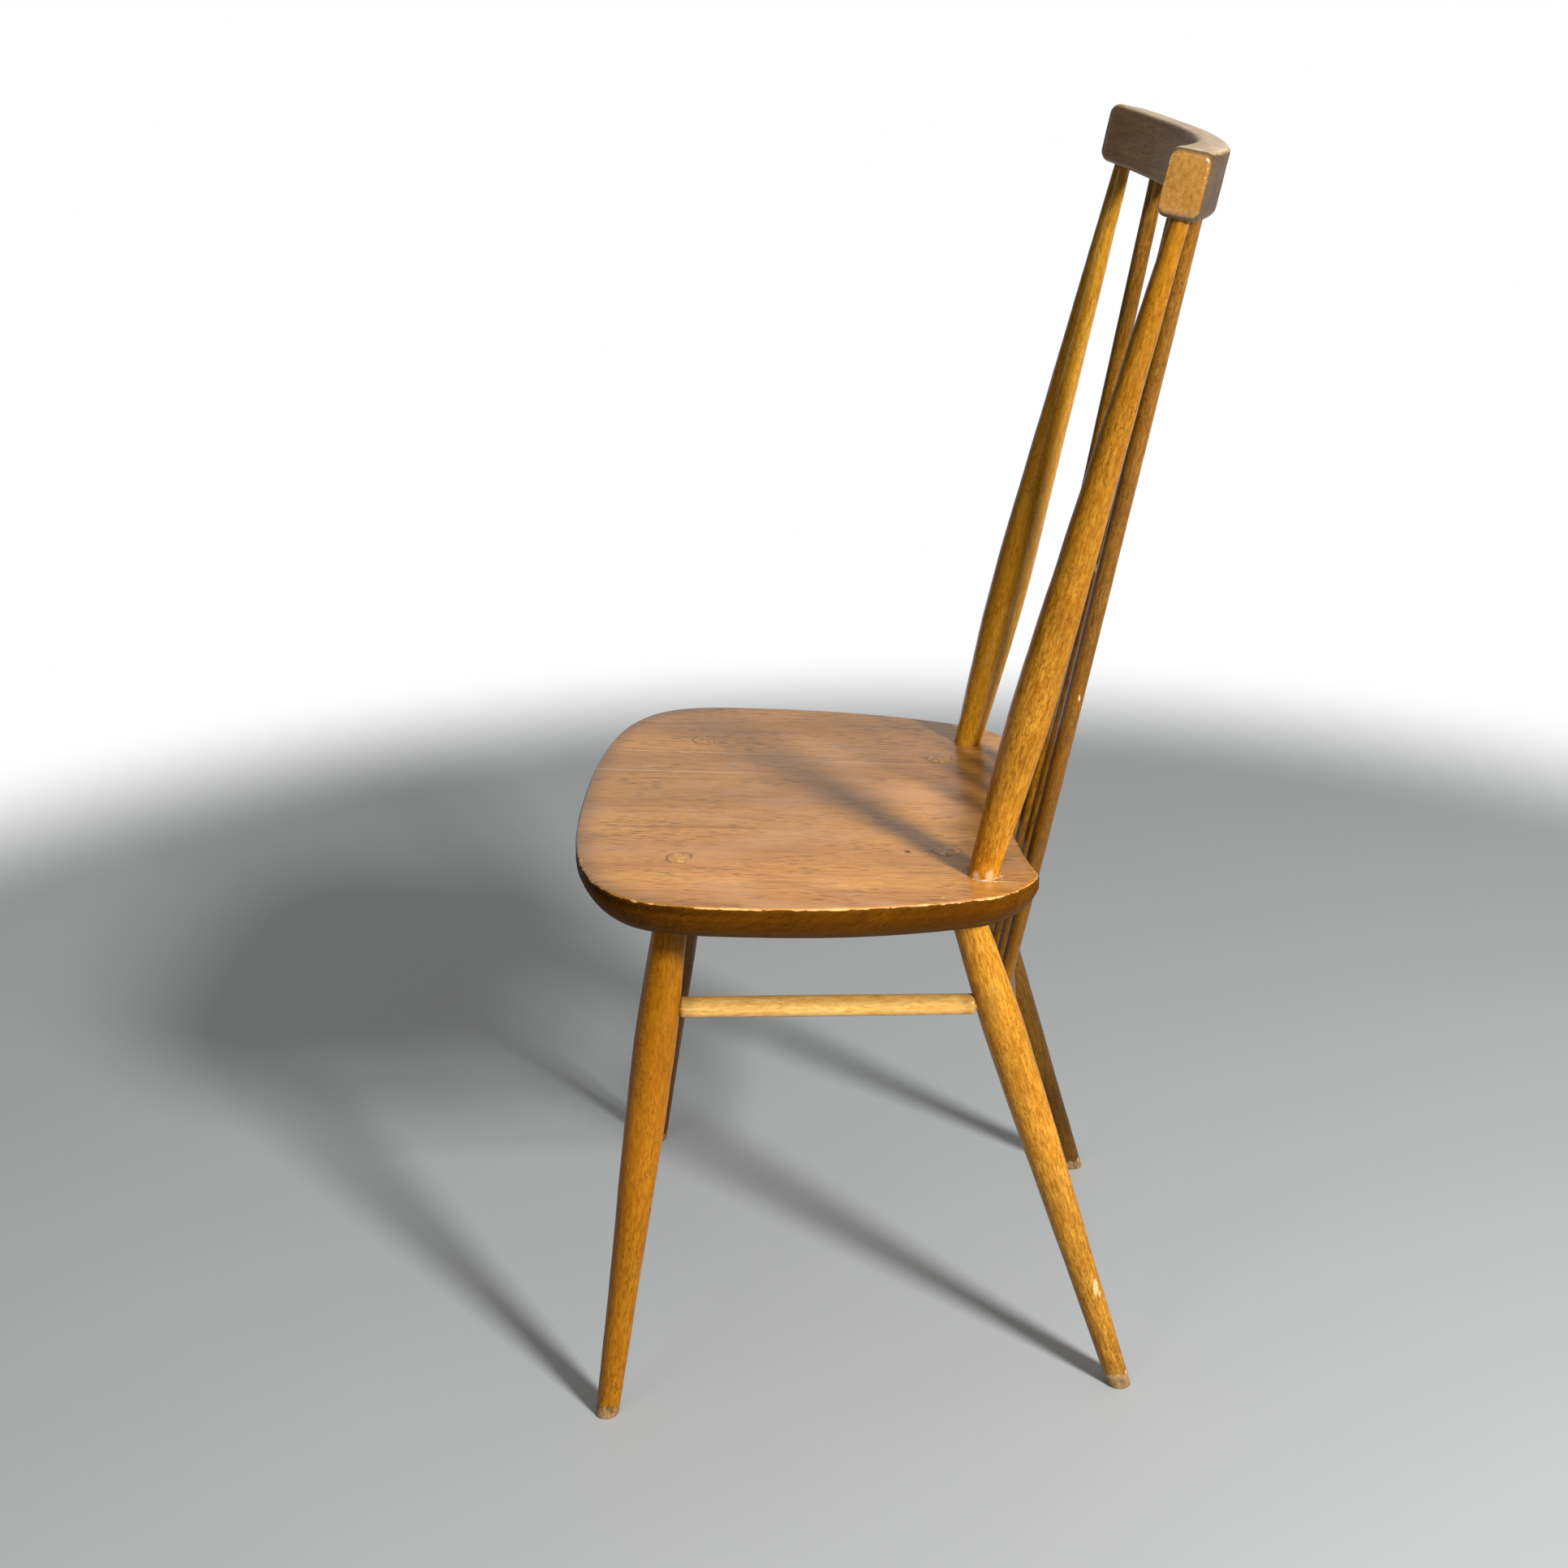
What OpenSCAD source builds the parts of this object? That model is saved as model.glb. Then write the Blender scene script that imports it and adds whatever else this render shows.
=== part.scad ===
// Tall stick-back dining chair: solid wooden seat on four splayed turned legs,
// two turned back posts and four slim sticks under a curved comb rail.
// The chair faces -Y. The origin is on the floor, under the middle of its overall depth.

/* [Seat] */
// Height of the seat's top face above the floor, in the middle of its depth
seat_h = 430; // [370:1:520]
// Backward slope of the seat, in degrees
seat_slope = 1.8; // [0:0.1:3]
// Width of the seat at its widest
seat_w = 436; // [363:1:524]
// Depth of the seat from its front edge to its rear corners
seat_d = 352; // [293:1:423]
// Thickness of the seat board
seat_t = 28.5; // [25:0.5:36]
// Depth of the square part of the seat's edge, below the top arris
seat_edge = 10; // [7:1:14]
// How far the underside is cut in from the seat's edge
seat_undercut = 14; // [8:1:16]
// Roundness of the seat's lower edge, from a straight slant to a quarter round
seat_edge_roundness = 0.4; // [0:0.1:1]
// Radius of the worn arris round the seat's top face
seat_arris = 2.5; // [1:0.5:4]
// Radius of the hollow in the seat's rear edge
rear_hollow_r = 575; // [520:10:900]
// Gap between the seat's hollowed rear edge and the outer pair of sticks
stick_gap = 10.3; // [6:0.1:16]
// Distance of a rear corner from the middle line of the seat
rear_corner_x = 137; // [110:1:165]

/* [Legs] */
// Distance of a front leg's joint from the seat's front edge
front_leg_inset = 85; // [70:1:105]
// Distance of a front leg's joint from the seat's widest edge
front_leg_side_inset = 90; // [70:1:105]
// Distance of a rear leg's joint from the line of the rear corners
rear_leg_inset = 68; // [52:1:80]
// Distance of a rear leg's joint from the seat's widest edge
rear_leg_side_inset = 118; // [100:1:136]
// Sideways splay of a front leg, in degrees
front_splay = 10.9; // [9:0.1:13]
// Forward rake of a front leg, in degrees
front_rake = 8.2; // [6:0.1:9.5]
// Sideways splay of a rear leg, in degrees
rear_splay = 8.8; // [7:0.1:10.5]
// Backward rake of a rear leg, in degrees
rear_rake = 18; // [15:0.1:20]
// How much less the right rear leg rakes, as it has worked in its joint, in degrees
right_rear_slack = 1.2; // [0:0.1:1.5]
// Diameter of a leg at the floor
foot_d = 17.7; // [15:0.1:21]
// Largest diameter of a leg
leg_belly_d = 31.8; // [27:0.2:38]
// Diameter of a leg where it meets the underside of the seat
leg_neck_d = 24; // [21:0.2:28]
// Distance of a leg's thickest place below the underside of the seat
leg_belly_drop = 118; // [95:1:140]
// Diameter of a front leg's tenon through the seat
front_tenon_d = 17.5; // [15:0.5:20]
// Diameter of a rear leg's tenon through the seat
rear_tenon_d = 19.5; // [16:0.5:20.5]

/* [Wedges] */
// Thickness of a wedge at the top of its tenon
wedge_t = 2.6; // [1.8:0.2:4]
// Thickness of a wedge at its buried end
wedge_tip_t = 0.9; // [0.6:0.1:1.4]
// Length of a wedge
wedge_l = 21; // [15:1:24]

/* [Stretchers] */
// Height of a side stretcher at the front leg
side_front_z = 320; // [270:1:345]
// Height of a side stretcher at the rear leg
side_rear_z = 308.5; // [270:0.5:345]
// Diameter of a side stretcher in its middle
side_stretcher_d = 16.4; // [13:0.2:20]
// Diameter of a side stretcher at its shoulders
side_stretcher_end_d = 15.8; // [12:0.2:19]
// Height of the rear stretcher that carries the sticks
rear_stretcher_z = 284; // [245:1:305]
// Diameter of the rear stretcher in its middle
rear_stretcher_d = 28; // [24:0.5:34]
// Diameter of the rear stretcher at its shoulders
rear_stretcher_end_d = 17; // [15:0.5:20]
// Diameter of the stretchers' tenons
stretcher_tenon_d = 10; // [8:0.5:12]
// Length of the stretchers' tenons inside the legs
stretcher_tenon_l = 18; // [14:0.5:21]
// Radius of the stretchers' rounded shoulders
shoulder_r = 2.5; // [1:0.5:2.5]
// Gap between a stretcher's rounded shoulder and the nearest part of the leg
shoulder_gap = 0.6; // [0.4:0.1:2]

/* [Back] */
// Height of the posts' shoulders under the comb, above the seat's top face
back_rise = 471; // [380:1:560]
// Backward lean of a post, in degrees
post_lean = 13.9; // [11:0.1:16]
// Sideways splay of a post, in degrees
post_splay = 4; // [2:0.1:5.5]
// Distance of a post's joint from the line of the rear corners
post_inset = 43; // [34:1:52]
// Distance of a post's joint from the seat's widest edge
post_side_inset = 75; // [64:1:90]
// Diameter of a post at the seat
post_base_d = 21.8; // [19:0.2:26]
// Largest diameter of a post
post_belly_d = 30.8; // [26:0.2:36]
// Diameter of a post under the comb
post_top_d = 12.8; // [12:0.2:15]
// Height of a post's thickest place above the seat, along the post
post_belly_rise = 141; // [110:1:165]
// Diameter of a post's tenon in the seat
post_tenon_d = 16; // [13:0.5:18]
// Depth of a post's blind tenon in the seat
post_tenon_l = 23; // [18:1:25]
// Number of sticks between the posts
stick_count = 4; // [4]
// Spacing of the sticks along the rear stretcher
stick_foot_pitch = 38.3; // [30:0.1:42]
// Largest diameter of a stick
stick_d = 13.3; // [11:0.1:15]
// Diameter of a stick where it enters the rear stretcher
stick_foot_d = 11; // [9:0.2:13]
// Diameter of a stick under the comb
stick_top_d = 12.6; // [11:0.2:14]
// Diameter of the tenons of posts and sticks in the comb
comb_tenon_d = 10; // [8:0.2:11]
// Length of the tenons of posts and sticks in the comb
comb_tenon_l = 22; // [16:1:26]
// How far a stick's foot stops short of the far wall of the rear stretcher
stick_foot_wall = 7; // [5:0.5:9]

/* [Comb] */
// Length of the comb rail from end to end
comb_w = 378; // [370:1:440]
// Height of the comb rail
comb_h = 44.5; // [36:0.5:52]
// Thickness of the comb rail
comb_t = 25; // [20:0.5:30]
// Radius of the comb's curve along its middle line
comb_r = 527; // [440:1:640]
// Backward lean of the comb's faces, in degrees
comb_lean = 12; // [9:0.1:14]
// Least wood in the comb beyond the tenon of a post
comb_end_wood = 3; // [2:0.5:10]
// Radius of the comb's long edges
comb_edge_r = 4.5; // [2:0.5:7]
// Radius of the comb's corners, as seen from the front
comb_corner_r = 6.5; // [3:0.5:10]

/* [Fits] */
// Glue line round every tenon, on the radius
glue = 0.1; // [0.05:0.05:0.25]
// Space left at the bottom of a blind hole
hole_relief = 1; // [0.5:0.5:2]

/* [Colours] */
// Varnished beech of the turned pieces
beech = "#b9772c";
// Darker board of the seat
board = "#8f5a35";
// Comb rail
rail = "#8a6238";
// Hard wedges in the leg tenons
wedge_wood = "#70421f";

/* [Hidden] */

fine = 64;          // facets of turned surfaces
curve_steps = 12;   // points along each turned curve
past = 5;           // how far a cutting tool runs past the face that it cuts
seam_turn = 60;     // turn of a turned surface's seam from the side that it leans to
far = 1200;         // size of a cutting block

// Seat frame: its y = 0 lies half way between the seat's front edge and its rear corners,
// and it slopes with the seat.
front_y = -seat_d / 2;
corner_y = seat_d / 2;
half_w = seat_w / 2;
// Point at a height over the seat's top face
function on_seat(x, y, h = 0) = [x,
    y * cos(seat_slope) + h * sin(seat_slope),
    seat_h - y * sin(seat_slope) + h * cos(seat_slope)];
// Distance along the seat of a point, and the height of a point over the seat
function seat_y(p) = p.y * cos(seat_slope) - (p.z - seat_h) * sin(seat_slope);
function seat_up(p) = p.y * sin(seat_slope) + (p.z - seat_h) * cos(seat_slope);

// Joints of legs and posts at the seat's top face, on the left (+1) or right (-1) side
function front_joint(side) =
    on_seat(side * (half_w - front_leg_side_inset), front_y + front_leg_inset);
function rear_joint(side) =
    on_seat(side * (half_w - rear_leg_side_inset), corner_y - rear_leg_inset);
function post_joint(side) =
    on_seat(side * (half_w - post_side_inset), corner_y - post_inset);

// Directions, as the step in x, y and z for each millimetre up
function rake_of(side) = side > 0 ? rear_rake : rear_rake - right_rear_slack;
function front_step(side) = [-side * tan(front_splay), tan(front_rake), 1];
function rear_step(side) = [-side * tan(rear_splay), -tan(rake_of(side)), 1];
function post_step(side) = [side * tan(post_splay), tan(post_lean), 1];

// Point on a line through a joint: at height z, or at a height over the seat
function at_z(joint, step, z) = joint + (z - joint.z) * step;
function off_seat(joint, step, h) =
    joint + h / (cos(seat_slope) + step.y * sin(seat_slope)) * step;
function between(a, b, t) = a + (b - a) * t;

// Comb: a post's shoulder lies on its underside, on the middle line of its curve
function post_top(side) = post_joint(side) + back_rise * post_step(side);
function comb_sag(x) = sqrt(comb_r * comb_r - x * x) - comb_r;
comb_y = post_top(1).y - comb_sag(post_top(1).x) * cos(comb_lean);
comb_z = post_top(1).z + comb_sag(post_top(1).x) * sin(comb_lean);
// The comb reaches past the posts that it holds
comb_reach = max(comb_w / 2, post_top(1).x + comb_tenon_d / 2 + comb_end_wood);
// Point on the middle line of the comb's underside at x
function comb_point(x) = [x,
    comb_y + comb_sag(x) * cos(comb_lean),
    comb_z - comb_sag(x) * sin(comb_lean)];

// Stretcher ends, on the legs' middle lines
function side_front(side) = at_z(front_joint(side), front_step(side), side_front_z);
function side_rear(side) = at_z(rear_joint(side), rear_step(side), side_rear_z);
function cross_end(side) = at_z(rear_joint(side), rear_step(side), rear_stretcher_z);
// Distance of a stretcher's shoulder from the middle line of a leg that leans its way
function shoulder_at(lean) =
    leg_belly_d / 2 / cos(lean) + stretcher_tenon_d / 2 * tan(lean) + shoulder_gap;
front_shoulder = shoulder_at(front_rake);
rear_shoulder = shoulder_at(rear_rake);
cross_shoulder = shoulder_at(rear_splay);

// Depth to which a stick's foot passes the rear stretcher's middle line
foot_depth = rear_stretcher_d / 2 - stick_foot_wall;
// Length of plain stick that shows above the rear stretcher
stick_grip = 2;
// Sticks, evenly spaced between the posts above and by their pitch below
stick_top_pitch = 2 * post_top(1).x / (stick_count + 1);
function stick_place(i) = i - (stick_count - 1) / 2;
function stick_foot(i) = between(cross_end(-1), cross_end(1),
    0.5 + stick_place(i) * stick_foot_pitch / norm(cross_end(1) - cross_end(-1)));
function stick_top(i) = comb_point(stick_place(i) * stick_top_pitch);
// Where a stick passes the level of the seat's top face
function stick_pass(i) = between(stick_foot(i), stick_top(i),
    -seat_up(stick_foot(i)) / (seat_up(stick_top(i)) - seat_up(stick_foot(i))));

// The seat's rear edge is hollowed to clear the outer pair of sticks
function hollow_sag(x) = rear_hollow_r - sqrt(rear_hollow_r * rear_hollow_r - x * x);
hollow_y = min([for (i = [0, stick_count - 1])
    seat_y(stick_pass(i)) - hollow_sag(stick_pass(i).x)]) - stick_d / 2 - stick_gap;

// The origin is moved to the middle of the overall depth
comb_back_y = comb_y + (comb_t / 2 - comb_edge_r) * cos(comb_lean)
    + (comb_h - comb_edge_r) * sin(comb_lean) + comb_edge_r;
middle_y = (on_seat(0, front_y, -seat_edge).y + comb_back_y) / 2;

// Cubic curve through a and d, pulled towards b and c
function curve(a, b, c, d, t) =
    a * pow(1 - t, 3) + 3 * b * t * pow(1 - t, 2) + 3 * c * pow(t, 2) * (1 - t) + d * pow(t, 3);
function curve_points(a, b, c, d, steps) =
    [for (i = [0 : steps - 1]) curve(a, b, c, d, i / steps)];
function unit(v) = v / norm(v);

// ---------- turned work ----------

// Puts what stands on the XY plane along the line from a to b, starting at a
module along(a, b) {
    d = b - a;
    translate(a) rotate([0, acos(d.z / norm(d)), atan2(d.y, d.x)]) children();
}

// Solid turned from a list of [distance, diameter] points
module turned(points) {
    outline = [for (p = points) [p.y / 2, p.x]];
    last = len(points) - 1;
    rotate([0, 0, seam_turn]) rotate_extrude($fn = fine)
        polygon(concat([[0, points[0].x]], outline, [[0, points[last].x]]));
}

// Everything below the floor, and everything over a plane at a height from the seat's top
module under_floor() { translate([-far / 2, -far / 2, -far]) cube(far); }
module over_seat(h) { on_seat_top() translate([-far / 2, -far / 2, h]) cube(far); }
module on_seat_top() {
    translate([0, 0, seat_h]) rotate([-seat_slope, 0, 0]) children();
}

// ---------- seat ----------

// Right half of the seat's outline, from the front's middle to the rear's middle
widest_y = front_y + 0.344 * seat_d;
side_end = [half_w - 0.071 * seat_w, corner_y - 0.12 * seat_d];
side_run = unit([-0.34, 0.94]);
corner_tip = [rear_corner_x, hollow_y + hollow_sag(rear_corner_x)];
corner_run = unit([rear_hollow_r, rear_corner_x]);
half_outline = concat(
    curve_points([0, front_y], [0.453 * seat_w, front_y],
        [half_w, widest_y - 0.237 * seat_d], [half_w, widest_y], 16),
    curve_points([half_w, widest_y], [half_w, widest_y + 0.214 * seat_d],
        side_end - 0.182 * seat_d * side_run, side_end, 10),
    curve_points(side_end, side_end + 0.064 * seat_d * side_run,
        corner_tip + 0.034 * seat_w * corner_run, corner_tip, 8),
    [for (i = [0 : 6]) let (x = rear_corner_x * (1 - i / 6)) [x, hollow_y + hollow_sag(x)]]);
half_count = len(half_outline);
outline = concat(half_outline,
    [for (i = [half_count - 2 : -1 : 1]) [-half_outline[i].x, half_outline[i].y]]);
count = len(outline);

// Outline moved in by a distance, along the way square to its edge
function inward(i) =
    let (d = unit(outline[(i + 1) % count] - outline[(i + count - 1) % count])) [-d.y, d.x];
function ring(inset, z) =
    [for (i = [0 : count - 1]) let (p = outline[i] + inset * inward(i)) [p.x, p.y, z]];

// Section of the seat's edge: [inset, depth below the top face]. Its lower part is a blend
// of a straight slant and a quarter round.
function blend(slant, round) = slant + seat_edge_roundness * (round - slant);
edge_section = concat(
    [for (a = [0 : 30 : 90]) [seat_arris * (1 - sin(a)), seat_arris * (1 - cos(a))]],
    [for (a = [0 : 22.5 : 90])
        [seat_undercut * blend(a / 90, 1 - cos(a)),
         seat_edge + (seat_t - seat_edge) * blend(a / 90, sin(a))]]);
rings = len(edge_section);

module seat_board() {
    points = [for (s = edge_section) each ring(s.x, -s.y)];
    sides = [for (k = [0 : rings - 2]) for (i = [0 : count - 1])
        let (j = (i + 1) % count) [k * count + i, k * count + j, (k + 1) * count + j,
                                   (k + 1) * count + i]];
    top = [[for (i = [count - 1 : -1 : 0]) i]];
    bottom = [[for (i = [0 : count - 1]) (rings - 1) * count + i]];
    polyhedron(points, concat(sides, top, bottom), convexity = 4);
}

module seat() {
    color(board) difference() {
        on_seat_top() seat_board();
        for (side = [-1, 1]) {
            leg_hole(front_joint(side), front_step(side), front_tenon_d);
            leg_hole(rear_joint(side), rear_step(side), rear_tenon_d);
            along(post_joint(side), post_top(side))
                translate([0, 0, -post_tenon_l - hole_relief])
                    cylinder(d = post_tenon_d + 2 * glue, h = post_tenon_l + hole_relief + past,
                        $fn = fine);
        }
    }
}

// ---------- legs ----------

// Cylinder along a leg's middle line, through the seat
module through_seat(joint, step, d) {
    low = off_seat(joint, step, -seat_t - past);
    high = off_seat(joint, step, past);
    along(low, high) cylinder(d = d, h = norm(high - low), $fn = fine);
}

module leg_hole(joint, step, tenon_d) { through_seat(joint, step, tenon_d + 2 * glue); }

// Turned body of a leg, from below the floor to above the seat's underside
module leg_body(joint, step) {
    foot = at_z(joint, step, 0);
    under = off_seat(joint, step, -seat_t);
    length = norm(under - foot);
    belly = length - leg_belly_drop;
    spare = leg_neck_d / 2;
    profile = concat(
        [[-spare, foot_d]],
        curve_points([0, foot_d], [0.42 * belly, foot_d + 5],
            [0.77 * belly, leg_belly_d], [belly, leg_belly_d], curve_steps),
        curve_points([belly, leg_belly_d], [belly + 0.3 * leg_belly_drop, leg_belly_d],
            [belly + 0.62 * leg_belly_drop, leg_neck_d + 2.3],
            [length, leg_neck_d], curve_steps),
        [[length, leg_neck_d], [length + spare, leg_neck_d]]);
    along(foot, under) turned(profile);
}

// Wedge as driven across the tenon, grown all round by a clearance
module wedge_blade(joint, step, tenon_d, grow) {
    top = wedge_t / 2 + grow;
    tip = wedge_tip_t / 2 + grow;
    width = 2 * tenon_d;
    along(joint, joint + step)
        rotate([90, 0, 90 - atan2(step.y, step.x)]) translate([0, 0, -width / 2])
            linear_extrude(width)
                polygon([[-tip, -wedge_l - grow], [tip, -wedge_l - grow],
                         [top, past], [-top, past]]);
}

// Leg with its tenon cut flush with the seat's top face and slotted for its wedge
module leg(joint, step, tenon_d) {
    difference() {
        union() {
            difference() {
                leg_body(joint, step);
                over_seat(-seat_t);
            }
            difference() {
                through_seat(joint, step, tenon_d);
                over_seat(0);
            }
        }
        under_floor();
        wedge_blade(joint, step, tenon_d, glue / 2);
    }
}

module wedge(joint, step, tenon_d) {
    color(wedge_wood) intersection() {
        wedge_blade(joint, step, tenon_d, 0);
        difference() {
            through_seat(joint, step, tenon_d);
            over_seat(0);
        }
    }
}

// Blind hole for a stretcher's tenon, along the line between two legs
module tenon_hole(from, to, shoulder) {
    depth = stretcher_tenon_l - shoulder + hole_relief;
    along(from, to) translate([0, 0, -depth])
        cylinder(d = stretcher_tenon_d + 2 * glue, h = depth + leg_belly_d, $fn = fine);
}

module front_leg(side) {
    color(beech) difference() {
        leg(front_joint(side), front_step(side), front_tenon_d);
        tenon_hole(side_front(side), side_rear(side), front_shoulder);
    }
}

module rear_leg(side) {
    color(beech) difference() {
        leg(rear_joint(side), rear_step(side), rear_tenon_d);
        tenon_hole(side_rear(side), side_front(side), rear_shoulder);
        tenon_hole(cross_end(side), cross_end(-side), cross_shoulder);
    }
}

module front_wedge(side) { wedge(front_joint(side), front_step(side), front_tenon_d); }
module rear_wedge(side) { wedge(rear_joint(side), rear_step(side), rear_tenon_d); }

// ---------- stretchers ----------

// Half a turned rail's points, from its tenon to its middle
function half_rail(length, shoulder, end_d, middle_d) =
    let (from = shoulder + shoulder_r)
    concat(
        [[shoulder - stretcher_tenon_l, stretcher_tenon_d], [shoulder, stretcher_tenon_d]],
        [for (a = [0 : 30 : 90])
            [shoulder + shoulder_r * (1 - cos(a)), end_d - 2 * shoulder_r * (1 - sin(a))]],
        [for (i = [1 : curve_steps])
            let (t = i / curve_steps)
            [from + (length / 2 - from) * t, end_d + (middle_d - end_d) * sin(90 * t)]]);

// Rail turned between two legs, from the middle line of one to that of the other
module rail(a, b, shoulder_a, shoulder_b, end_d, middle_d) {
    length = norm(b - a);
    from_a = half_rail(length, shoulder_a, end_d, middle_d);
    from_b = half_rail(length, shoulder_b, end_d, middle_d);
    along(a, b) turned(concat(from_a,
        [for (i = [len(from_b) - 2 : -1 : 0]) [length - from_b[i].x, from_b[i].y]]));
}

module side_stretcher(side) {
    color(beech) rail(side_front(side), side_rear(side), front_shoulder, rear_shoulder,
        side_stretcher_end_d, side_stretcher_d);
}

module rear_stretcher() {
    color(beech) difference() {
        rail(cross_end(1), cross_end(-1), cross_shoulder, cross_shoulder,
            rear_stretcher_end_d, rear_stretcher_d);
        for (i = [0 : stick_count - 1]) stick_hole(i);
    }
}

// ---------- back ----------

module stick_hole(i) {
    depth = foot_depth + hole_relief;
    along(stick_foot(i), stick_top(i)) translate([0, 0, -depth])
        cylinder(d = stick_foot_d + 2 * glue, h = depth + rear_stretcher_d, $fn = fine);
}

// Hole for a tenon in the underside of the comb
module comb_hole(from, to) {
    along(to, to + (to - from)) translate([0, 0, -past])
        cylinder(d = comb_tenon_d + 2 * glue, h = comb_tenon_l + hole_relief + past, $fn = fine);
}

// Everything above the plane of the comb's underside
module over_comb_underside() {
    translate([0, comb_y, comb_z]) rotate([-comb_lean, 0, 0])
        translate([-far / 2, -far / 2, 0]) cube(far);
}

module comb_tenon(from, to) {
    along(to, to + (to - from)) translate([0, 0, -past])
        cylinder(d = comb_tenon_d, h = comb_tenon_l + past, $fn = fine);
}

module stick(i) {
    foot = stick_foot(i);
    top = stick_top(i);
    length = norm(top - foot);
    grip = rear_stretcher_d / 2 + stick_grip;
    profile = concat(
        [[-foot_depth, stick_foot_d], [grip, stick_foot_d]],
        [for (k = [1 : curve_steps])
            let (t = k / curve_steps)
            [grip + (0.3 * length - grip) * t, stick_foot_d + (stick_d - stick_foot_d) * sin(90 * t)]],
        [[0.7 * length, stick_d], [length, stick_top_d], [length + stick_d, stick_top_d]]);
    color(beech) union() {
        difference() {
            along(foot, top) turned(profile);
            over_comb_underside();
        }
        comb_tenon(foot, top);
    }
}

module back_post(side) {
    joint = post_joint(side);
    top = post_top(side);
    length = norm(top - joint);
    rest = length - post_belly_rise;
    profile = concat(
        [[-post_base_d / 2, post_base_d]],
        curve_points([0, post_base_d], [0.45 * post_belly_rise, post_base_d + 5.4],
            [0.7 * post_belly_rise, post_belly_d], [post_belly_rise, post_belly_d],
            curve_steps),
        curve_points([post_belly_rise, post_belly_d],
            [post_belly_rise + 0.1 * rest, post_belly_d],
            [post_belly_rise + 0.44 * rest, post_top_d + 10], [length, post_top_d],
            curve_steps),
        [[length, post_top_d], [length + post_top_d, post_top_d]]);
    color(beech) union() {
        intersection() {
            difference() {
                along(joint, top) turned(profile);
                over_comb_underside();
            }
            over_seat(0);
        }
        along(joint, top) translate([0, 0, -post_tenon_l])
            cylinder(d = post_tenon_d, h = post_tenon_l + past, $fn = fine);
        comb_tenon(joint, top);
    }
}

// ---------- comb ----------

// Rectangle with round corners, from its lowest left corner
module round_rect(w, h, r) {
    translate([r, 0]) square([w - 2 * r, h]);
    translate([0, r]) square([w, h - 2 * r]);
    for (x = [r, w - r]) for (y = [r, h - r]) translate([x, y]) circle(r, $fn = fine);
}

module comb_rail() {
    color(rail) difference() {
        translate([0, comb_y, comb_z]) rotate([-comb_lean, 0, 0]) intersection() {
            translate([0, -comb_r, 0]) rotate_extrude(angle = 360, $fn = 4 * fine)
                translate([comb_r - comb_t / 2, 0]) round_rect(comb_t, comb_h, comb_edge_r);
            translate([-comb_reach, comb_t, 0]) rotate([90, 0, 0])
                linear_extrude(comb_r / 2) round_rect(2 * comb_reach, comb_h, comb_corner_r);
        }
        for (i = [0 : stick_count - 1]) comb_hole(stick_foot(i), stick_top(i));
        for (side = [-1, 1]) comb_hole(post_joint(side), post_top(side));
    }
}

// ---------- pieces in place ----------

module placed() { translate([0, -middle_y, 0]) children(); }

placed() seat();
placed() comb_rail();
placed() back_post(1);  // back_post_left
placed() back_post(-1);  // back_post_right
placed() stick(0);  // back_stick_1
placed() stick(1);  // back_stick_2
placed() stick(2);  // back_stick_3
placed() stick(3);  // back_stick_4
placed() front_leg(1);  // front_leg_left
placed() front_leg(-1);  // front_leg_right
placed() rear_leg(1);  // rear_leg_left
placed() rear_leg(-1);  // rear_leg_right
placed() front_wedge(1);  // front_wedge_left
placed() front_wedge(-1);  // front_wedge_right
placed() rear_wedge(1);  // rear_wedge_left
placed() rear_wedge(-1);  // rear_wedge_right
placed() side_stretcher(1);  // side_stretcher_left
placed() side_stretcher(-1);  // side_stretcher_right
placed() rear_stretcher();
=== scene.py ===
"""Worn stick-back chair: its looks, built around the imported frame."""
import math

import bmesh
import bpy
import numpy as np
from mathutils import Matrix, Vector


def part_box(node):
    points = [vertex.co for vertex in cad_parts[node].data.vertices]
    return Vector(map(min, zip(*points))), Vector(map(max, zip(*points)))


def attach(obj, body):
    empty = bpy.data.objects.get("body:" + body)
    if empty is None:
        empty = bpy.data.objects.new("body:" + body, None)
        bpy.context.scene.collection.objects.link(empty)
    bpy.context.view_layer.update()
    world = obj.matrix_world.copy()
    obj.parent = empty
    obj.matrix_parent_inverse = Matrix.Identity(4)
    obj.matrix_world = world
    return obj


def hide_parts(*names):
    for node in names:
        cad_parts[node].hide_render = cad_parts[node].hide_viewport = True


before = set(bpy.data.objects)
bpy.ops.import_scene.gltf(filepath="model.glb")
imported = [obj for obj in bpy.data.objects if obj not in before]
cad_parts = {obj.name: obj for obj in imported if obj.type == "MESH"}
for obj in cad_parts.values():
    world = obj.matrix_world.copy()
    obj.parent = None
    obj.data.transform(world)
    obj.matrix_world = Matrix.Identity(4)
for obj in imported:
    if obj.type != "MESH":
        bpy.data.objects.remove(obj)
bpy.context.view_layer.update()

bl_info = {
    "name": "Worn stick-back chair",
    "version": (1, 0, 0),
    "blender": (4, 5, 0),
    "location": "3D View > Sidebar > Chair",
    "description": "Builds a worn stick-back chair around its packed frame",
    "category": "Add Mesh",
}

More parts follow.
